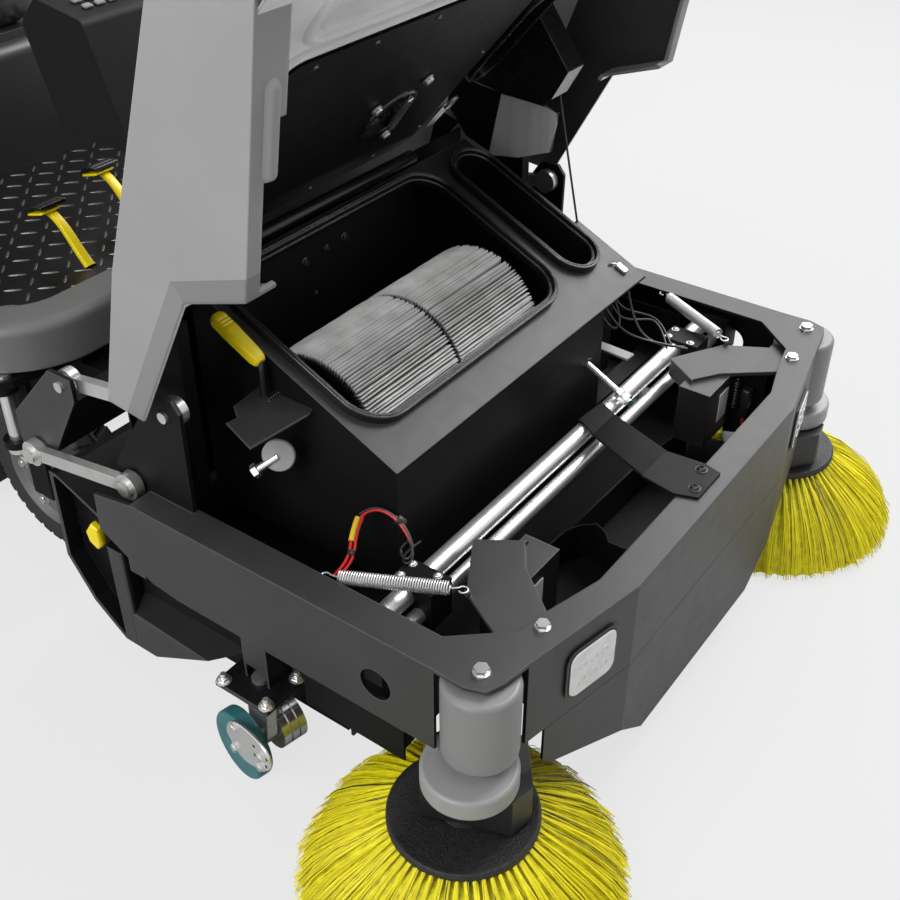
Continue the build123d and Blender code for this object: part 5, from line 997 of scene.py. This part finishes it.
class SCRUBBER_OT_castors(bpy.types.Operator):
    """Plate nuts, side plates and bolts of the two castors"""
    bl_idname = "scrubber.castors"
    bl_label = "Castors"

    def execute(self, context):
        for sign, hand in SIDES:
            c, t = math.cos(CASTOR_TURN), math.sin(CASTOR_TURN)
            axis = np.array([sign * c, t, 0])
            back = np.array([-sign * t, c, 0])
            hub = np.array([sign * CASTOR_X, CASTOR_Y, 104.0]) + axis * 61.5 - back * 36
            place = basis(hub, axis)
            edge = np.array([(-66, 0), (-49, 38), (-25, 55), (10, 64), (42, 66), (66, 60), (78, 44),
                             (76, 22), (62, 4),
                             (38, -15), (22, -19), (-3, -33), (-33, -31), (-46, -17)], float)
            line = smooth_line(np.concatenate([edge[-2:], edge, edge[:2]]), 96)[14:-16]
            side = slab(line[::-1], 5, place, 1.2)
            piece(f"castor_side_{hand}", side, "chrome", f"castor_{hand}", slot="zinc")
            bolts = [(*place(np.array([[u, v, 4.0]]))[0], *axis, 7.5) for u,
                     v in ((-36, -19), (-30, 38), (44, 2), (50, 32))]
            add_heads(f"castor_side_bolts_{hand}", "hex", "zinc", f"castor_{hand}", bolts)
            # painted shade: small near-black discs stand for the shade inside the side plate's holes
            dots = [turned([(0, 5.3), (3.2, 5.3), (3.6, 4.6)], place(np.array([u, v, 0.0])), axis, 12)
                    for u, v in ((29, 40), (29, 18), (66, 38), (62, 17))]
            bundle(f"castor_side_holes_{hand}", dots, "inner",
                   f"castor_{hand}", slot="black_plastic")
            nuts = []
            for dx in (-38, 38):
                for dy in (-49, 49):
                    nuts.append((sign * (CASTOR_X + dx), CASTOR_Y + dy, 206, 0, 0, 1, 9.5))
            add_heads(f"castor_plate_nuts_{hand}", "hex", "zinc", "chassis", nuts)
            studs = [turned([(6, 8), (6, 15), (5, 16.5), (0, 16.5)], (x, y, 206), (0, 0, 1), 16) for x, y, *_ in nuts]
            bundle(f"castor_studs_{hand}", studs, "zinc", slot="zinc")
        return {"FINISHED"}


class SCRUBBER_OT_pedals(bpy.types.Operator):
    """Two curved yellow pedal arms with ribbed black pads"""
    bl_idname = "scrubber.pedals"
    bl_label = "Pedals"

    def execute(self, context):
        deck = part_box("platform_deck")[1].z * 1000
        for k, (x, y) in enumerate(((-190, 1270), (12, 1338))):
            line = smooth_line([(x, y + 4, deck), (x, y + 34, deck + 32), (x, y + 62, deck + 70),
                                (x, y + 90, deck + 92),
                                (x, y + 128, deck + 103)], 26)
            t = unit(np.gradient(line, axis=0))
            n = np.stack([np.zeros(26), -t[:, 2], t[:, 1]], 1)
            wide = np.interp(np.arange(26), [0, 3, 18, 25], [15, 11, 9, 12])[:, None]
            a = circle(20)
            u = power(np.cos(a), 0.35)
            v = power(np.sin(a), 0.35) * 6.5
            across = np.stack([np.ones(26), np.zeros(26), np.zeros(26)], 1)
            ring = line[:, None] + (wide * u)[..., None] * across[:, None] + v[None, :, None] * n[:, None]
            caps = [np.repeat(line[i][None, None], 20, 1) for i in (0, -1)]
            arm = piece(f"pedal_arm_{k}", np.concatenate([caps[0], ring, caps[1]])[None], "yellow",
                        slot="yellow_parts")
            s = np.linspace(-1, 1, 15)
            w = np.linspace(-1, 1, 27)
            gs, gw = np.meshgrid(s, w, indexing="ij")
            rise = 6 - 13 * np.maximum(gs, 0) ** 2 - 5 * np.maximum(-gs, 0) ** 2
            rib = 1.1 * (np.abs(np.sin(gs * 17)) > 0.55) * (np.abs(gw) < 0.9)
            tilt = math.radians(-16)
            def at_pad(h):
                return np.stack([x + 33 * gw, y + 116 + 31 * gs * math.cos(tilt) - h * math.sin(tilt),
                                 deck + 104 + 31 * gs * math.sin(tilt) + h * math.cos(tilt)], -1)
            top, low = at_pad(rise + 6 + rib), at_pad(rise - 0.5)
            edge = lambda g: np.concatenate([g[0, :-1], g[:-1, -1], g[-1, :0:-1], g[:0:-1, 0]])
            wall = np.stack([edge(low), edge(top)])
            pad = bundle(f"pedal_pad_{k}", [(top[None], False, False), (low[None], False, False), wall[None]],
                         "gloss", slot="black_rubber")
            under = slab(rounded(-27, 27, -27, 26, 6, 4), 5, lambda p: np.stack(
                [x - 6 + p[..., 0], y + 116 + p[..., 1] * math.cos(tilt) + (8 - p[..., 2]) * math.sin(tilt),
                 deck + 96 + p[..., 1] * math.sin(tilt) + p[..., 2] * math.cos(tilt)], -1), 1.2)
            under = piece(f"pedal_plate_{k}", under, "yellow", slot="yellow_parts")
            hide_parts("pedals")
            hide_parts("pedals")
            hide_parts("pedals")
        return {"FINISHED"}


class SCRUBBER_OT_bay_gear(bpy.types.Operator):
    """Clamp bolt, motor label, looms and small steel parts in the front bay"""
    bl_idname = "scrubber.bay_gear"
    bl_label = "Bay gear"

    def execute(self, context):
        a, b = np.array([196.0, 292, 484]), np.array([176.0, 182, 447])
        d = unit(b - a)
        n = np.linalg.norm(b - a)
        shank = turned(rod(6.4, 0, n), a, d, 20)
        six = turned([(0, -9), (12, -9), (14, -7.5), (14, 1), (0, 1)], a, d, 6)
        nut = turned(rod(13, n - 30, n - 20), a, d, 6)
        nut2 = turned(rod(13, n - 14, n - 4), a, d, 6)
        bundle("clamp_bolt", (shank, six, nut, nut2), "chrome", slot="zinc", smooth=False)
        self.sheets()
        self.handle()
        for sign, hand in SIDES:
            body = f"brush_arm_{hand}"
            face = basis((sign * 345, 61.6, 395), (0, -1, 0))
            label = slab(rounded(-20, 20, -30, 34, 2, 3), 1.2, face, 0.3)
            piece(f"motor_label_{hand}", label, "white", body, slot="black_plastic")
            x = sign * 384.0
            t = np.linspace(0, 1, 150)
            turn = t * 9 * 2 * math.pi
            coil = np.stack([x + 6.5 * np.cos(turn), 52 + 6.5 * np.sin(turn), 436 - 62 * t], 1)
            piece(f"motor_coil_{hand}", tube(coil, 1.2, 6), "rubber", body, slot="black_rubber")
            plug = slab(rounded(-13, 13, -26, 16, 4, 4), 18, basis((sign * 404, 44, 398), (0, -1, 0)), 2.0)
            neck = turned([(0, 0), (9, 0), (9, 26), (6, 34), (0, 34)], (sign * 404, 35, 376), (0, 0.2, -1), 16)
            bundle(f"motor_plug_{hand}", [plug, neck], "black", body,
                   slot="black_plastic")
            lead = smooth_line([(sign * 404, 38, 346), (sign * 405, 36, 325), (sign * 414, 32, 300),
                                (sign * 436, 30, 276)], 20)
            piece(f"motor_lead_{hand}", tube(lead, 3.4, 10), "red", body, slot="black_rubber")
        return {"FINISHED"}

    def handle(self):
        """The yellow tip of the hopper's release handle, standing out beside the rail's end."""
        tip = [(827, 302), (829, 338), (846, 345), (864, 320), (858, 298), (838, 288)]
        block = slab(tip, 16, lambda p: np.stack([-589 - p[..., 2], p[..., 0], p[..., 1]], -1), 3.0)
        piece("hopper_handle", block, "yellow", slot="yellow_parts")

    def sheets(self):
        """Dark folded sheets in the bay: the tray rims over the roller, near-black sheets beside the rails and panels
        on the arms put as painted shade where the bay lies in shadow, and one bare flat bar."""
        rims = [folded(q, 236, 322, 3.5) for q in (
            [(-64, 150), (60, 147), (179, 144), (300, 130), (336, 122)],
            [(-226, 160), (-150, 158), (-92, 154), (-62, 140), (-42, 117), (-54, 92), (-74, 74),
             (-72, 40), (-60, 12)])]
        bundle("bay_rims", rims, "sheet", smooth=False)
        # painted shade: near-black sheets beside the rails fill the bay's shadow
        shade_sheet = [folded([(s * 548, 262), (s * 548, 470)], 232, 440, 3) for s in (1, -1)]
        bundle("bay_shade_sheets", shade_sheet, "inner", smooth=False)
        bar = slab(rounded(-13, 13, -60, 60, 2, 3), 5, basis((330, 322, 440), (0, 0, 1), (0.05, 1, 0)), 0.8)
        piece("bay_bar", bar, "disc", slot="zinc")
        disc = turned([(0, 0), (26, 0), (28, 1.5), (28, 7), (26, 9), (0, 9)], (-452, 500, 560), (-0.8, -0.5, 0.3), 48)
        piece("bay_disc", disc, "disc", slot="castor_tread")
        pin = turned(rod(7, 0, 40), (-458, 497, 561), (-0.6, 0.55, -0.5), 20)
        six = turned(rod(13, 40, 50), (-458, 497, 561), (-0.6, 0.55, -0.5), 6)
        bundle("bay_disc_bolt", [pin, six], "chrome", slot="zinc",
               smooth=False)
        self.tag()
        for sign, hand in SIDES:
            # painted shade: near-black panels on each arm fill the shadow beside the motor
            shade_panel = folded([(sign * 396, 132), (sign * 420, 112), (sign * 452, 78), (sign * 478, 54)], 276, 450, 4)
            skirt = folded([(sign * 402, 74), (sign * 416, 44), (sign * 434, 12)], 296, 446, 4)
            bundle(f"arm_shade_panel_{hand}", [shade_panel, skirt], "inner",
                   f"brush_arm_{hand}", smooth=False)

    def tag(self):
        """A wire's connector clipped through a slot near the slope's far corner."""
        # painted shade: a thin near-black plate stands for the open slot
        slot = slab(rounded(352, 376, 60, 66, 2.5, 4), 0.6, lambda p: on_slope(p + [0, 0, 0.1]), 0.1)
        piece("slope_slot", slot, "inner", slot="black_plastic")
        clip = slab(rounded(-7, 7, -13, 13, 3, 4), 7, lambda p: on_slope(p + [371, 42, 1]), 1.5)
        stem = tube(on_slope(smooth_line([(364, 64, 0.5), (365, 62, 5), (369, 54, 5), (370, 48, 5)], 16)), 2.4, 8)
        bundle("slope_tag", [clip, stem], "spring", slot="zinc")


class SCRUBBER_OT_lever(bpy.types.Operator):
    """The lid's locking lever: a steel tab, a bent rod and a tapered yellow grip with three finger ridges"""
    bl_idname = "scrubber.lever"
    bl_label = "Locking lever"

    def execute(self, context):
        x, y, z = -HALF_HOUSING, SLOPE_Y + 170, SLOPE_Z + 54
        tab = [(x, y), (x, y + 115), (x - 70, y + 109), (x - 90, y + 81), (x - 112, y + 84), (x - 139, y + 6),
               (x - 16, y - 6)]
        sheet = slab(tab, 4, lambda p: p + [0, 0, z - 0.5], 0.8)
        plate = bundle("lever_tab", [sheet], "coat", smooth=False)
        row = np.linspace(-431, -369, 12)
        teeth = [slab(rounded(c - 2.0, c + 2.0, 530, 545, 1, 2), 4.5, lambda p: p + [0, 0, z + 2.5],
                      0.8) for c in row]
        teeth.append(slab(rounded(-435, -365, 527, 548, 2, 3), 2, lambda p: p + [0, 0, z + 2], 0.5))
        bundle("lever_stop", teeth, "gun", slot="black_plastic")
        rod = [(-427, 546, 646), (-427, 546, 672), (-427, 546, 704), (-427, 553, 716), (-427, 566, 722),
               (-427, 580, 730)]
        arm = piece("lever_rod", tube(smooth_line(rod, 30), 6.0, 14), "gloss", slot="black_plastic")
        a, b = np.array([-427, 545.0, 708]), np.array([-427, 640.0, 762])
        d = unit(b - a)
        n = np.array([0, -d[2], d[1]])
        s = np.array([0, 0.0, 0.05, 0.12, 0.25, 0.5, 0.66, 0.7, 0.73, 0.76, 0.79, 0.82, 0.85, 0.88, 0.95, 1.0, 1.0])
        wide = np.array([0, 8, 11, 12.5, 13, 13.5, 14, 14, 14, 14, 14, 14, 14, 14, 13, 9, 0])
        high = np.array([0, 7, 10, 11, 11.5, 12, 12.5, 12.5, 11, 12.5, 11, 12.5, 11, 12.5, 11, 8, 0])
        t = circle(28)
        cu, su = power(np.cos(t), 0.5), power(np.sin(t), 0.5)
        mid = a + (b - a) * s[:, None]
        grip = (mid[:, None] + wide[:, None, None] * cu[None, :, None] * np.array([1.0, 0, 0])
                + high[:, None, None] * su[None, :, None] * n)
        made = piece("lever_grip", grip[None], "yellow", slot="yellow_parts")
        for q in (plate, arm, made):
            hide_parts("lock_lever")
        return {"FINISHED"}


class SCRUBBER_OT_seals(bpy.types.Operator):
    """Twin rubber beads round the filter's opening and one round the duct beside it"""
    bl_idname = "scrubber.seals"
    bl_label = "Seals"

    def execute(self, context):
        parts = []
        for x0, x1, mid, half, r in SEAL_LINES:
            for grow, w, h, top in ((8.4, 2.4, 3.2, 14.6), (13.4, 2.2, 2.6, 14.6), (3, 2.2, 2.4, 7.8)):
                line = rounded(x0 - grow, x1 + grow, mid - half - grow, mid + half + grow, r + grow, 14)
                parts.append(bead(line, w, h, lambda p, top=top: on_slope(p + [0, 0, top])))
        bundle("seal_beads", parts, "gloss", slot="black_rubber")
        return {"FINISHED"}


class SCRUBBER_OT_seat(bpy.types.Operator):
    """Seat cushion and backrest, puffed up by a cloth run, with sewn channels and piping"""
    bl_idname = "scrubber.seat"
    bl_label = "Seat"

    def execute(self, context):
        lo, hi = in_mm(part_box("seat_cushion"))
        mid, half = (lo + hi) / 2, (hi - lo) / 2
        flat = lambda p: p + mid
        self.pad("seat_cushion", half - [9, 8, 8], flat, half[2] - 8, 138.0)
        lo, hi = in_mm(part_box("seat_back"))
        mid, half = (lo + hi) / 2, (hi - lo) / 2
        lean = math.atan2(74.0, 468.0)
        c, n = math.cos(lean), math.sin(lean)

        def leant(p):
            """Width, height and thickness of the pad drawn flat, stood up and leant back."""
            return np.stack([p[..., 0], -p[..., 2] * c + p[..., 1] * n, p[..., 1] * c + p[..., 2] * n], -1) + mid

        self.pad("seat_back", np.array([half[0] - 9, half[2] - 14, 36.0]), leant, 36.0, 120.0)
        return {"FINISHED"}

    def pad(self, node, half, place, rest, seam):
        """A superquadric block, |x/a|, |y/b| and |z/c| to the same high power adding to one, is remeshed, filled with
        pressure as cloth with each point's travel capped, creased along a seam on each side and edged with
        piping."""
        u, v = np.linspace(-math.pi / 2, math.pi / 2, 41), circle(96)
        gu, gv = np.meshgrid(u, v, indexing="ij")
        shape = np.stack([power(np.cos(gu), 0.3) * power(np.cos(gv), 0.26),
                          power(np.cos(gu), 0.3) * power(np.sin(gv), 0.26),
                          power(np.sin(gu), 0.5)], -1) * half
        made = piece(f"{node}_pad", place(shape)[None], "vinyl", slot="seat_vinyl")
        self.fill(made, 0.014)
        co = np.zeros(len(made.data.vertices) * 3)
        made.data.vertices.foreach_get("co", co)
        q = co.reshape(-1, 3)
        base = at(place(np.zeros((1, 3))))[0]
        axes = [unit(at(place(np.eye(3)[k][None]))[0] - base) for k in range(3)]
        local = np.stack([(q - base) @ a for a in axes], 1) * 1000
        depth = 6.0 * np.exp(-((np.abs(local[:, 0]) - seam) / 6.0) ** 2)
        depth = depth * (local[:, 2] > 0) * np.clip(1.15 - (np.abs(local[:, 1]) / half[1]) ** 6, 0, 1)
        q -= depth[:, None] / 1000 * axes[2]
        made.data.vertices.foreach_set("co", q.ravel())
        made.data.update()
        soft = made.modifiers.new("soft", "SUBSURF")
        soft.levels = soft.render_levels = 1
        flat = local / [half[0], half[1], 1]
        near = np.abs(local[:, 2] - rest * 0.42) < 6
        angle, far = np.arctan2(flat[near, 1], flat[near, 0]), np.hypot(flat[near, 0], flat[near, 1])
        slot = ((angle + math.pi) / (2 * math.pi) * 90).astype(int) % 90
        reach = np.zeros(90)
        np.maximum.at(reach, slot, far)
        found = np.nonzero(reach)[0]
        reach = np.interp(np.arange(90), found, reach[found], period=90)
        reach = (np.roll(reach, 1) + 2 * reach + np.roll(reach, -1)) / 4
        a = (np.arange(90) + 0.5) / 90 * 2 * math.pi - math.pi
        edge = np.stack([reach * np.cos(a) * half[0], reach * np.sin(a) * half[1], np.full(90, rest * 0.42)], 1)
        ring = np.concatenate([edge, edge[:1]])
        pipe = piece(f"{node}_piping", tube(place(ring), 3.6, 10), "gloss", slot="seat_vinyl")
        for o in (made, pipe):
            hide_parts(node)

    def fill(self, made, cap):
        """Remeshes a pad evenly and lets pressure puff it out, no point going further than cap metres."""
        scene = bpy.context.scene
        grid = made.modifiers.new("even", "REMESH")
        grid.mode, grid.voxel_size = "VOXEL", 0.006
        self.settle(made)
        before = np.zeros(len(made.data.vertices) * 3)
        made.data.vertices.foreach_get("co", before)
        cloth = made.modifiers.new("fill", "CLOTH")
        cloth.settings.quality = 5
        cloth.settings.mass = 0.3
        cloth.settings.use_pressure = True
        cloth.settings.uniform_pressure_force = 4
        cloth.settings.effector_weights.gravity = 0
        for frame_no in range(1, 21):
            scene.frame_set(frame_no)
        self.settle(made)
        after = np.zeros(len(before))
        made.data.vertices.foreach_get("co", after)
        a, b = before.reshape(-1, 3), after.reshape(-1, 3)
        move = b - a
        far = np.linalg.norm(move, axis=1, keepdims=True)
        made.data.vertices.foreach_set("co", (a + move * np.minimum(1, cap / np.maximum(far, 1e-9))).ravel())
        made.data.update()
        scene.frame_set(1)

    def settle(self, made):
        """Writes what the modifiers make into the mesh and removes them."""
        graph = bpy.context.evaluated_depsgraph_get()
        mesh = bpy.data.meshes.new_from_object(made.evaluated_get(graph))
        old = made.data
        made.modifiers.clear()
        made.data = mesh
        mesh.name = old.name
        if not len(mesh.materials):
            mesh.materials.append(old.materials[0])
        mesh.polygons.foreach_set("use_smooth", np.ones(len(mesh.polygons), bool))
        bpy.data.meshes.remove(old)


class SCRUBBER_OT_wheels(bpy.types.Operator):
    """Tyres with cut treads on dished steel rims"""
    bl_idname = "scrubber.wheels"
    bl_label = "Wheels"

    def execute(self, context):
        for end, blocks in (("front", 34), ("rear", 38)):
            for sign, hand in SIDES:
                self.wheel(f"{end}_wheel_{hand}", sign, blocks)
        return {"FINISHED"}

    def wheel(self, node, sign, blocks):
        """Radius over the tyre's width is its section, less a cut where the angle, shifted by the place across,
        falls in the first third of a block; the middle groove runs all round."""
        lo, hi = in_mm(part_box(node))
        (x, y, z), h, big = (lo + hi) / 2, (hi[0] - lo[0]) / 2, (hi[2] - lo[2]) / 2
        wall = np.array([0.6, 0.6, 1.2, 5])      # how far each wall ring stands in from the wheel's side
        wall_r = np.array([big * 0.655, big - 30, big - 13, big - 5])
        across = np.concatenate([wall - h, np.linspace(-h + 13, h - 13, 25), h - wall[::-1]])
        radius = np.concatenate([wall_r, np.full(25, big), wall_r[::-1]])
        inner_x, inner_r = np.array([h - 13, -h + 13]), np.array([big * 0.6, big * 0.6])
        a = circle(blocks * 12)
        s = across / h
        phase = (a[:, None] * blocks / (2 * math.pi) + 0.55 * np.abs(s) + 0.5 * (s > 0)) % 1
        cut = (phase < 0.3) * (np.abs(s) > 0.14) * (radius > big - 20) + (np.abs(s) <= 0.09)
        r = radius - 6.5 * np.clip(cut, 0, 1)
        r = np.concatenate([r, np.broadcast_to(inner_r, (len(a), 2))], 1)
        w = np.broadcast_to(np.concatenate([across, inner_x]), r.shape)
        tyre = np.stack([x + w, y + r * np.cos(a)[:, None], z + r * np.sin(a)[:, None]], -1)
        tyre = piece(f"{node}_tyre", tyre[None], "tyre", node, wrap_u=True, slot="tyre_black")
        bore = 24.0
        dish = [(bore, 0.8), (big * 0.34, 0.8), (big * 0.37, 3), (big * 0.42, 12), (big * 0.59, 15), (big * 0.63, 6),
                (big * 0.65, 1), (big * 0.665, 1)]
        section = [(r, v - h) for r, v in dish] + [(r, h - v) for r, v in reversed(dish)]
        rim = piece(f"{node}_rim", turned(section, (x, y, z), (1, 0, 0), 72), "sill", node, wrap_u=True,
                    slot="zinc")
        for made in (tyre, rim):
            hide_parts(node)
        spots = []
        for k in range(6):
            t = math.pi * k / 3
            spots.append((x + sign * (h - 13), y + big * 0.505 * math.cos(t), z + big * 0.505 * math.sin(t),
                          sign, 0, 0, 10.0))
        add_heads(f"{node}_nuts", "hex", "zinc", node, spots)


class SCRUBBER_OT_dash(bpy.types.Operator):
    """Display, switches, key and stop button on the dash, and the steering wheel's cap"""
    bl_idname = "scrubber.dash"
    bl_label = "Dash"

    def execute(self, context):
        top = basis((0, 1132, 1119.2), (0, -0.164, 0.986), (0, -1, 0))
        lift = lambda du, dv, dw: (lambda p: top(p + [du, dv, dw]))
        frame_p = slab(rounded(-88, 88, -38, 38, 10, 6), 6, lift(0, 0, -1), 2)
        piece("dash_frame", frame_p, "gloss", slot="black_plastic")
        piece("dash_screen", slab(rounded(-66, 66, -27, 27, 3, 4), 1.2, lift(0, 0, 5), 0.3), "grey_zinc",
              slot="black_plastic")
        knobs = [slab(rounded(-9, 9, -7, 7, 3, 4), 5, lift(u, v, 0), 1.5)
                 for u in (118, 146, 174, 202) for v in (-14, 14)]
        bundle("dash_switches", knobs, "roller", slot="black_plastic")
        up = np.array([0, -0.164, 0.986])
        spot = lambda u, v: top(np.array([u, v, 0.0]))
        stop = turned([(0, 30), (14, 29), (20, 25), (21, 20), (18, 16), (10, 14), (10, 4), (0, 4)],
                      spot(-190, 0), up, 40)
        piece("stop_button", stop, "red", slot="yellow_parts")
        base = turned([(0, 6), (22, 6), (25, 4), (26, -1), (0, -1)], spot(-190, 0), up, 40)
        lock = turned([(0, 7), (9, 7), (11, 5), (12, -1), (0, -1)], spot(-130, 0), up, 32)
        piece("stop_base", base, "yellow", slot="yellow_parts")
        piece("key_switch", lock, "chrome", slot="zinc")
        tilt = math.radians(32)
        way = np.array([0, math.sin(tilt), math.cos(tilt)])
        cap = turned([(0, 10), (20, 9), (32, 6), (38, 1), (38, -6), (0, -6)],
                     np.array([0, 1355.0, 1175]) + way * 4, way, 48)
        piece("wheel_cap", cap, "gloss", "steering_wheel", slot="black_plastic")
        return {"FINISHED"}


class SCRUBBER_OT_rear(bpy.types.Operator):
    """Tank seams, lamps and caps, the seat base's vents and the squeegee's knobs"""
    bl_idname = "scrubber.rear"
    bl_label = "Rear details"

    def execute(self, context):
        back = lambda p: np.stack([p[..., 0], 2450 + p[..., 2], p[..., 1]], -1)
        rings = [bead(rounded(-x, x, z0, z1, r, 10), 6, 3.5, back)
                 for x, z0, z1, r in ((452, 520, 1176, 60), (190, 600, 960, 40))]
        bundle("tank_beads", rings, "shell", slot="grey_shell")
        ribs = [slab(rounded(-14, 14, 624, 936, 13, 6), 5, lambda p, x=x: back(p + [x, 0, -1]), 2.5)
                for x in (-120, -60, 0, 60, 120)]
        bundle("tank_ribs", ribs, "shell", slot="grey_shell")
        for sign, hand in SIDES:
            c = (sign * 360.0, 2449, 1080)
            dome = turned([(0, 14), (18, 12), (30, 7), (33, 1), (0, 1)], c, (0, 1, 0), 48)
            piece(f"tail_lamp_{hand}", dome, "red", slot="lamp")
            ring = turned([(32, 0), (34, 8), (40, 8), (43, 0)], c, (0, 1, 0), 48)
            piece(f"tail_bezel_{hand}", ring, "black", wrap_u=True, slot="black_plastic")
            vents = [slab(rounded(1860, 2010, z, z + 9, 4, 4), 4, lambda p: np.stack(
                [sign * (544 + p[..., 2]), p[..., 0], p[..., 1]], -1), 1.5) for z in range(560, 760, 26)]
            bundle(f"console_vents_{hand}", vents, "gloss", slot="black_plastic")
            grip = [(sign * 544, 1850, 810), (sign * 566, 1856, 812), (sign * 568, 1900, 812),
                    (sign * 568, 1980, 812),
                    (sign * 566, 2024, 812), (sign * 544, 2030, 810)]
            piece(f"console_grip_{hand}", tube(smooth_line(grip, 40), 7, 12), "gloss", slot="black_plastic")
        self.cap("drain_cap", (-300, 2449, 560), (0, 1, 0), 42)
        self.cap("filler_cap", (-544, 2300, 1180), (-1, 0, 0), 46)
        x = np.array([-560.0, -400, -210, 210, 400, 560])
        self.knobs(x, SQUEEGEE_MID + np.sqrt((SQUEEGEE_R - 38) ** 2 - x ** 2), 84)
        return {"FINISHED"}

    def cap(self, name, centre, axis, r):
        """A screw cap: a stepped profile turned, its rim waved in and out sixteen times."""
        p = turned([(0, 18), (r * 0.8, 18), (r, 14), (r, 3), (r + 5, 2), (r + 5, 0), (0, 0)], (0, 0, 0),
                   (0, 0, 1), 192)
        a = np.arctan2(p[..., 1], p[..., 0])
        wave = 1 - 0.05 * (np.cos(16 * a) > 0) * (p[..., 2] > 2.5) * (np.hypot(p[..., 0], p[..., 1]) > r * 0.7)
        p[..., :2] *= wave[..., None]
        piece(name, basis(centre, axis)(p), "black", slot="black_plastic")

    def knobs(self, x, y, z):
        """Star knobs that clamp the squeegee's blade, on the top of its curved bar."""
        parts = []
        for cx, cy in zip(x, y):
            a = circle(60)
            r = 17 + 2.5 * np.cos(5 * a)
            parts.append(slab(np.stack([cx + r * np.cos(a), cy + r * np.sin(a)], 1), 16,
                              lambda p: p + [0, 0, z + 6], 3))
            parts.append(turned(rod(8, 0, 7), (cx, cy, z - 0.5), (0, 0, 1), 20))
        bundle("squeegee_knobs", parts, "gloss", slot="black_plastic")


class SCRUBBER_OT_wiring(bpy.types.Operator):
    """Short fixed looms beside the brush motors, and the lid's thin stay"""
    bl_idname = "scrubber.wiring"
    bl_label = "Wiring"

    def execute(self, context):
        red = [[(-538, 318, 452), (-505, 312, 466), (-478, 330, 488), (-446, 338, 503), (-424, 326, 511),
                (-414, 298, 506), (-418, 268, 490), (-425, 246, 470)],
               [(-534, 312, 450), (-500, 306, 464), (-474, 325, 486), (-443, 333, 502)]]
        black = [[(-446, 339, 506), (-424, 329, 514), (-411, 299, 508), (-415, 266, 492), (-428, 240, 470),
                  (-450, 238, 456), (-440, 268, 461), (-418, 262, 468)],
                 [(-418, 262, 474), (-428, 240, 462), (-452, 236, 450), (-444, 262, 452), (-400, 250, 462)],
                 [(379, 309, 560), (376, 296, 522), (360, 264, 482), (368, 222, 464), (400, 180, 461)],
                 [(312, 322, 545), (313, 300, 520), (330, 276, 490), (364, 240, 470), (396, 172, 461)],
                 [(330, 318, 545), (340, 300, 512), (381, 277, 500), (423, 262, 490), (402, 230, 470),
                  (372, 206, 462)],
                 [(352, 330, 560), (350, 306, 530), (392, 290, 508), (436, 262, 486), (410, 226, 466),
                  (384, 200, 461)],
                 [(300, 330, 548), (296, 306, 516), (318, 292, 500), (340, 300, 516), (348, 322, 548)]]
        self.loom("red_wire", red, "red", 2.7)
        self.loom("black_wires", black, "rubber", 2.4)
        self.loom("sleeve", [[(-484, 325, 483), (-466, 333, 494), (-450, 338, 502)]], "amber", 5.0)
        clip = turned([(0, 0), (8, 0), (9, 2), (9, 14), (8, 16), (0, 16)], (-414, 288, 500), (0.3, -0.6, -0.5), 16)
        tie = turned(rod(6.5, 0, 8), (-500, 314, 469), (0.7, 0.3, 0.4), 12)
        bundle("wire_clips", [clip, tie], "black", slot="black_plastic")
        stay = [(400, 506, 913), (400, 478, 788), (400, 449, 663)]
        cord = self.loom("hood_stay", [stay], "rubber", 2.2)
        tuple(at([400, 449, 663]))
        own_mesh(cord)
        return {"FINISHED"}

    def loom(self, name, routes, material, radius):
        """Round wire along smooth routes."""
        parts = [tube(smooth_line(q, 36), radius, 10) for q in routes]
        return bundle(name, parts, material)


OPERATORS = [
    SCRUBBER_OT_stage, SCRUBBER_OT_finishes, SCRUBBER_OT_side_brushes, SCRUBBER_OT_springs, SCRUBBER_OT_lamps,
    SCRUBBER_OT_fasteners, SCRUBBER_OT_floor_plate, SCRUBBER_OT_filter, SCRUBBER_OT_lid_gear, SCRUBBER_OT_wing_pads,
    SCRUBBER_OT_castors, SCRUBBER_OT_pedals, SCRUBBER_OT_bay_gear, SCRUBBER_OT_wiring, SCRUBBER_OT_lever,
    SCRUBBER_OT_seals, SCRUBBER_OT_seat, SCRUBBER_OT_wheels, SCRUBBER_OT_dash, SCRUBBER_OT_rear]


class SCRUBBER_PT_panel(bpy.types.Panel):
    """Sidebar list of the scrubber's pieces"""
    bl_label = "Floor scrubber"
    bl_space_type = "VIEW_3D"
    bl_region_type = "UI"
    bl_category = "Scrubber"

    def draw(self, context):
        for group in (context.scene.scrubber_look, context.scene.scrubber_sizes):
            for key in group.__annotations__:
                self.layout.prop(group, key)
        for op in OPERATORS:
            self.layout.operator(op.bl_idname)


CLASSES = [ScrubberLook, ScrubberSizes, *OPERATORS, SCRUBBER_PT_panel]


def register():
    for cls in CLASSES:
        bpy.utils.register_class(cls)
    bpy.types.Scene.scrubber_look = bpy.props.PointerProperty(type=ScrubberLook)
    bpy.types.Scene.scrubber_sizes = bpy.props.PointerProperty(type=ScrubberSizes)


def unregister():
    del bpy.types.Scene.scrubber_sizes
    del bpy.types.Scene.scrubber_look
    for cls in reversed(CLASSES):
        bpy.utils.unregister_class(cls)


def main():
    """Registers the add-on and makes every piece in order."""
    register()
    for op in OPERATORS:
        group, name = op.bl_idname.split(".")
        getattr(getattr(bpy.ops, group), name)()


if __name__ == "__main__":
    main()
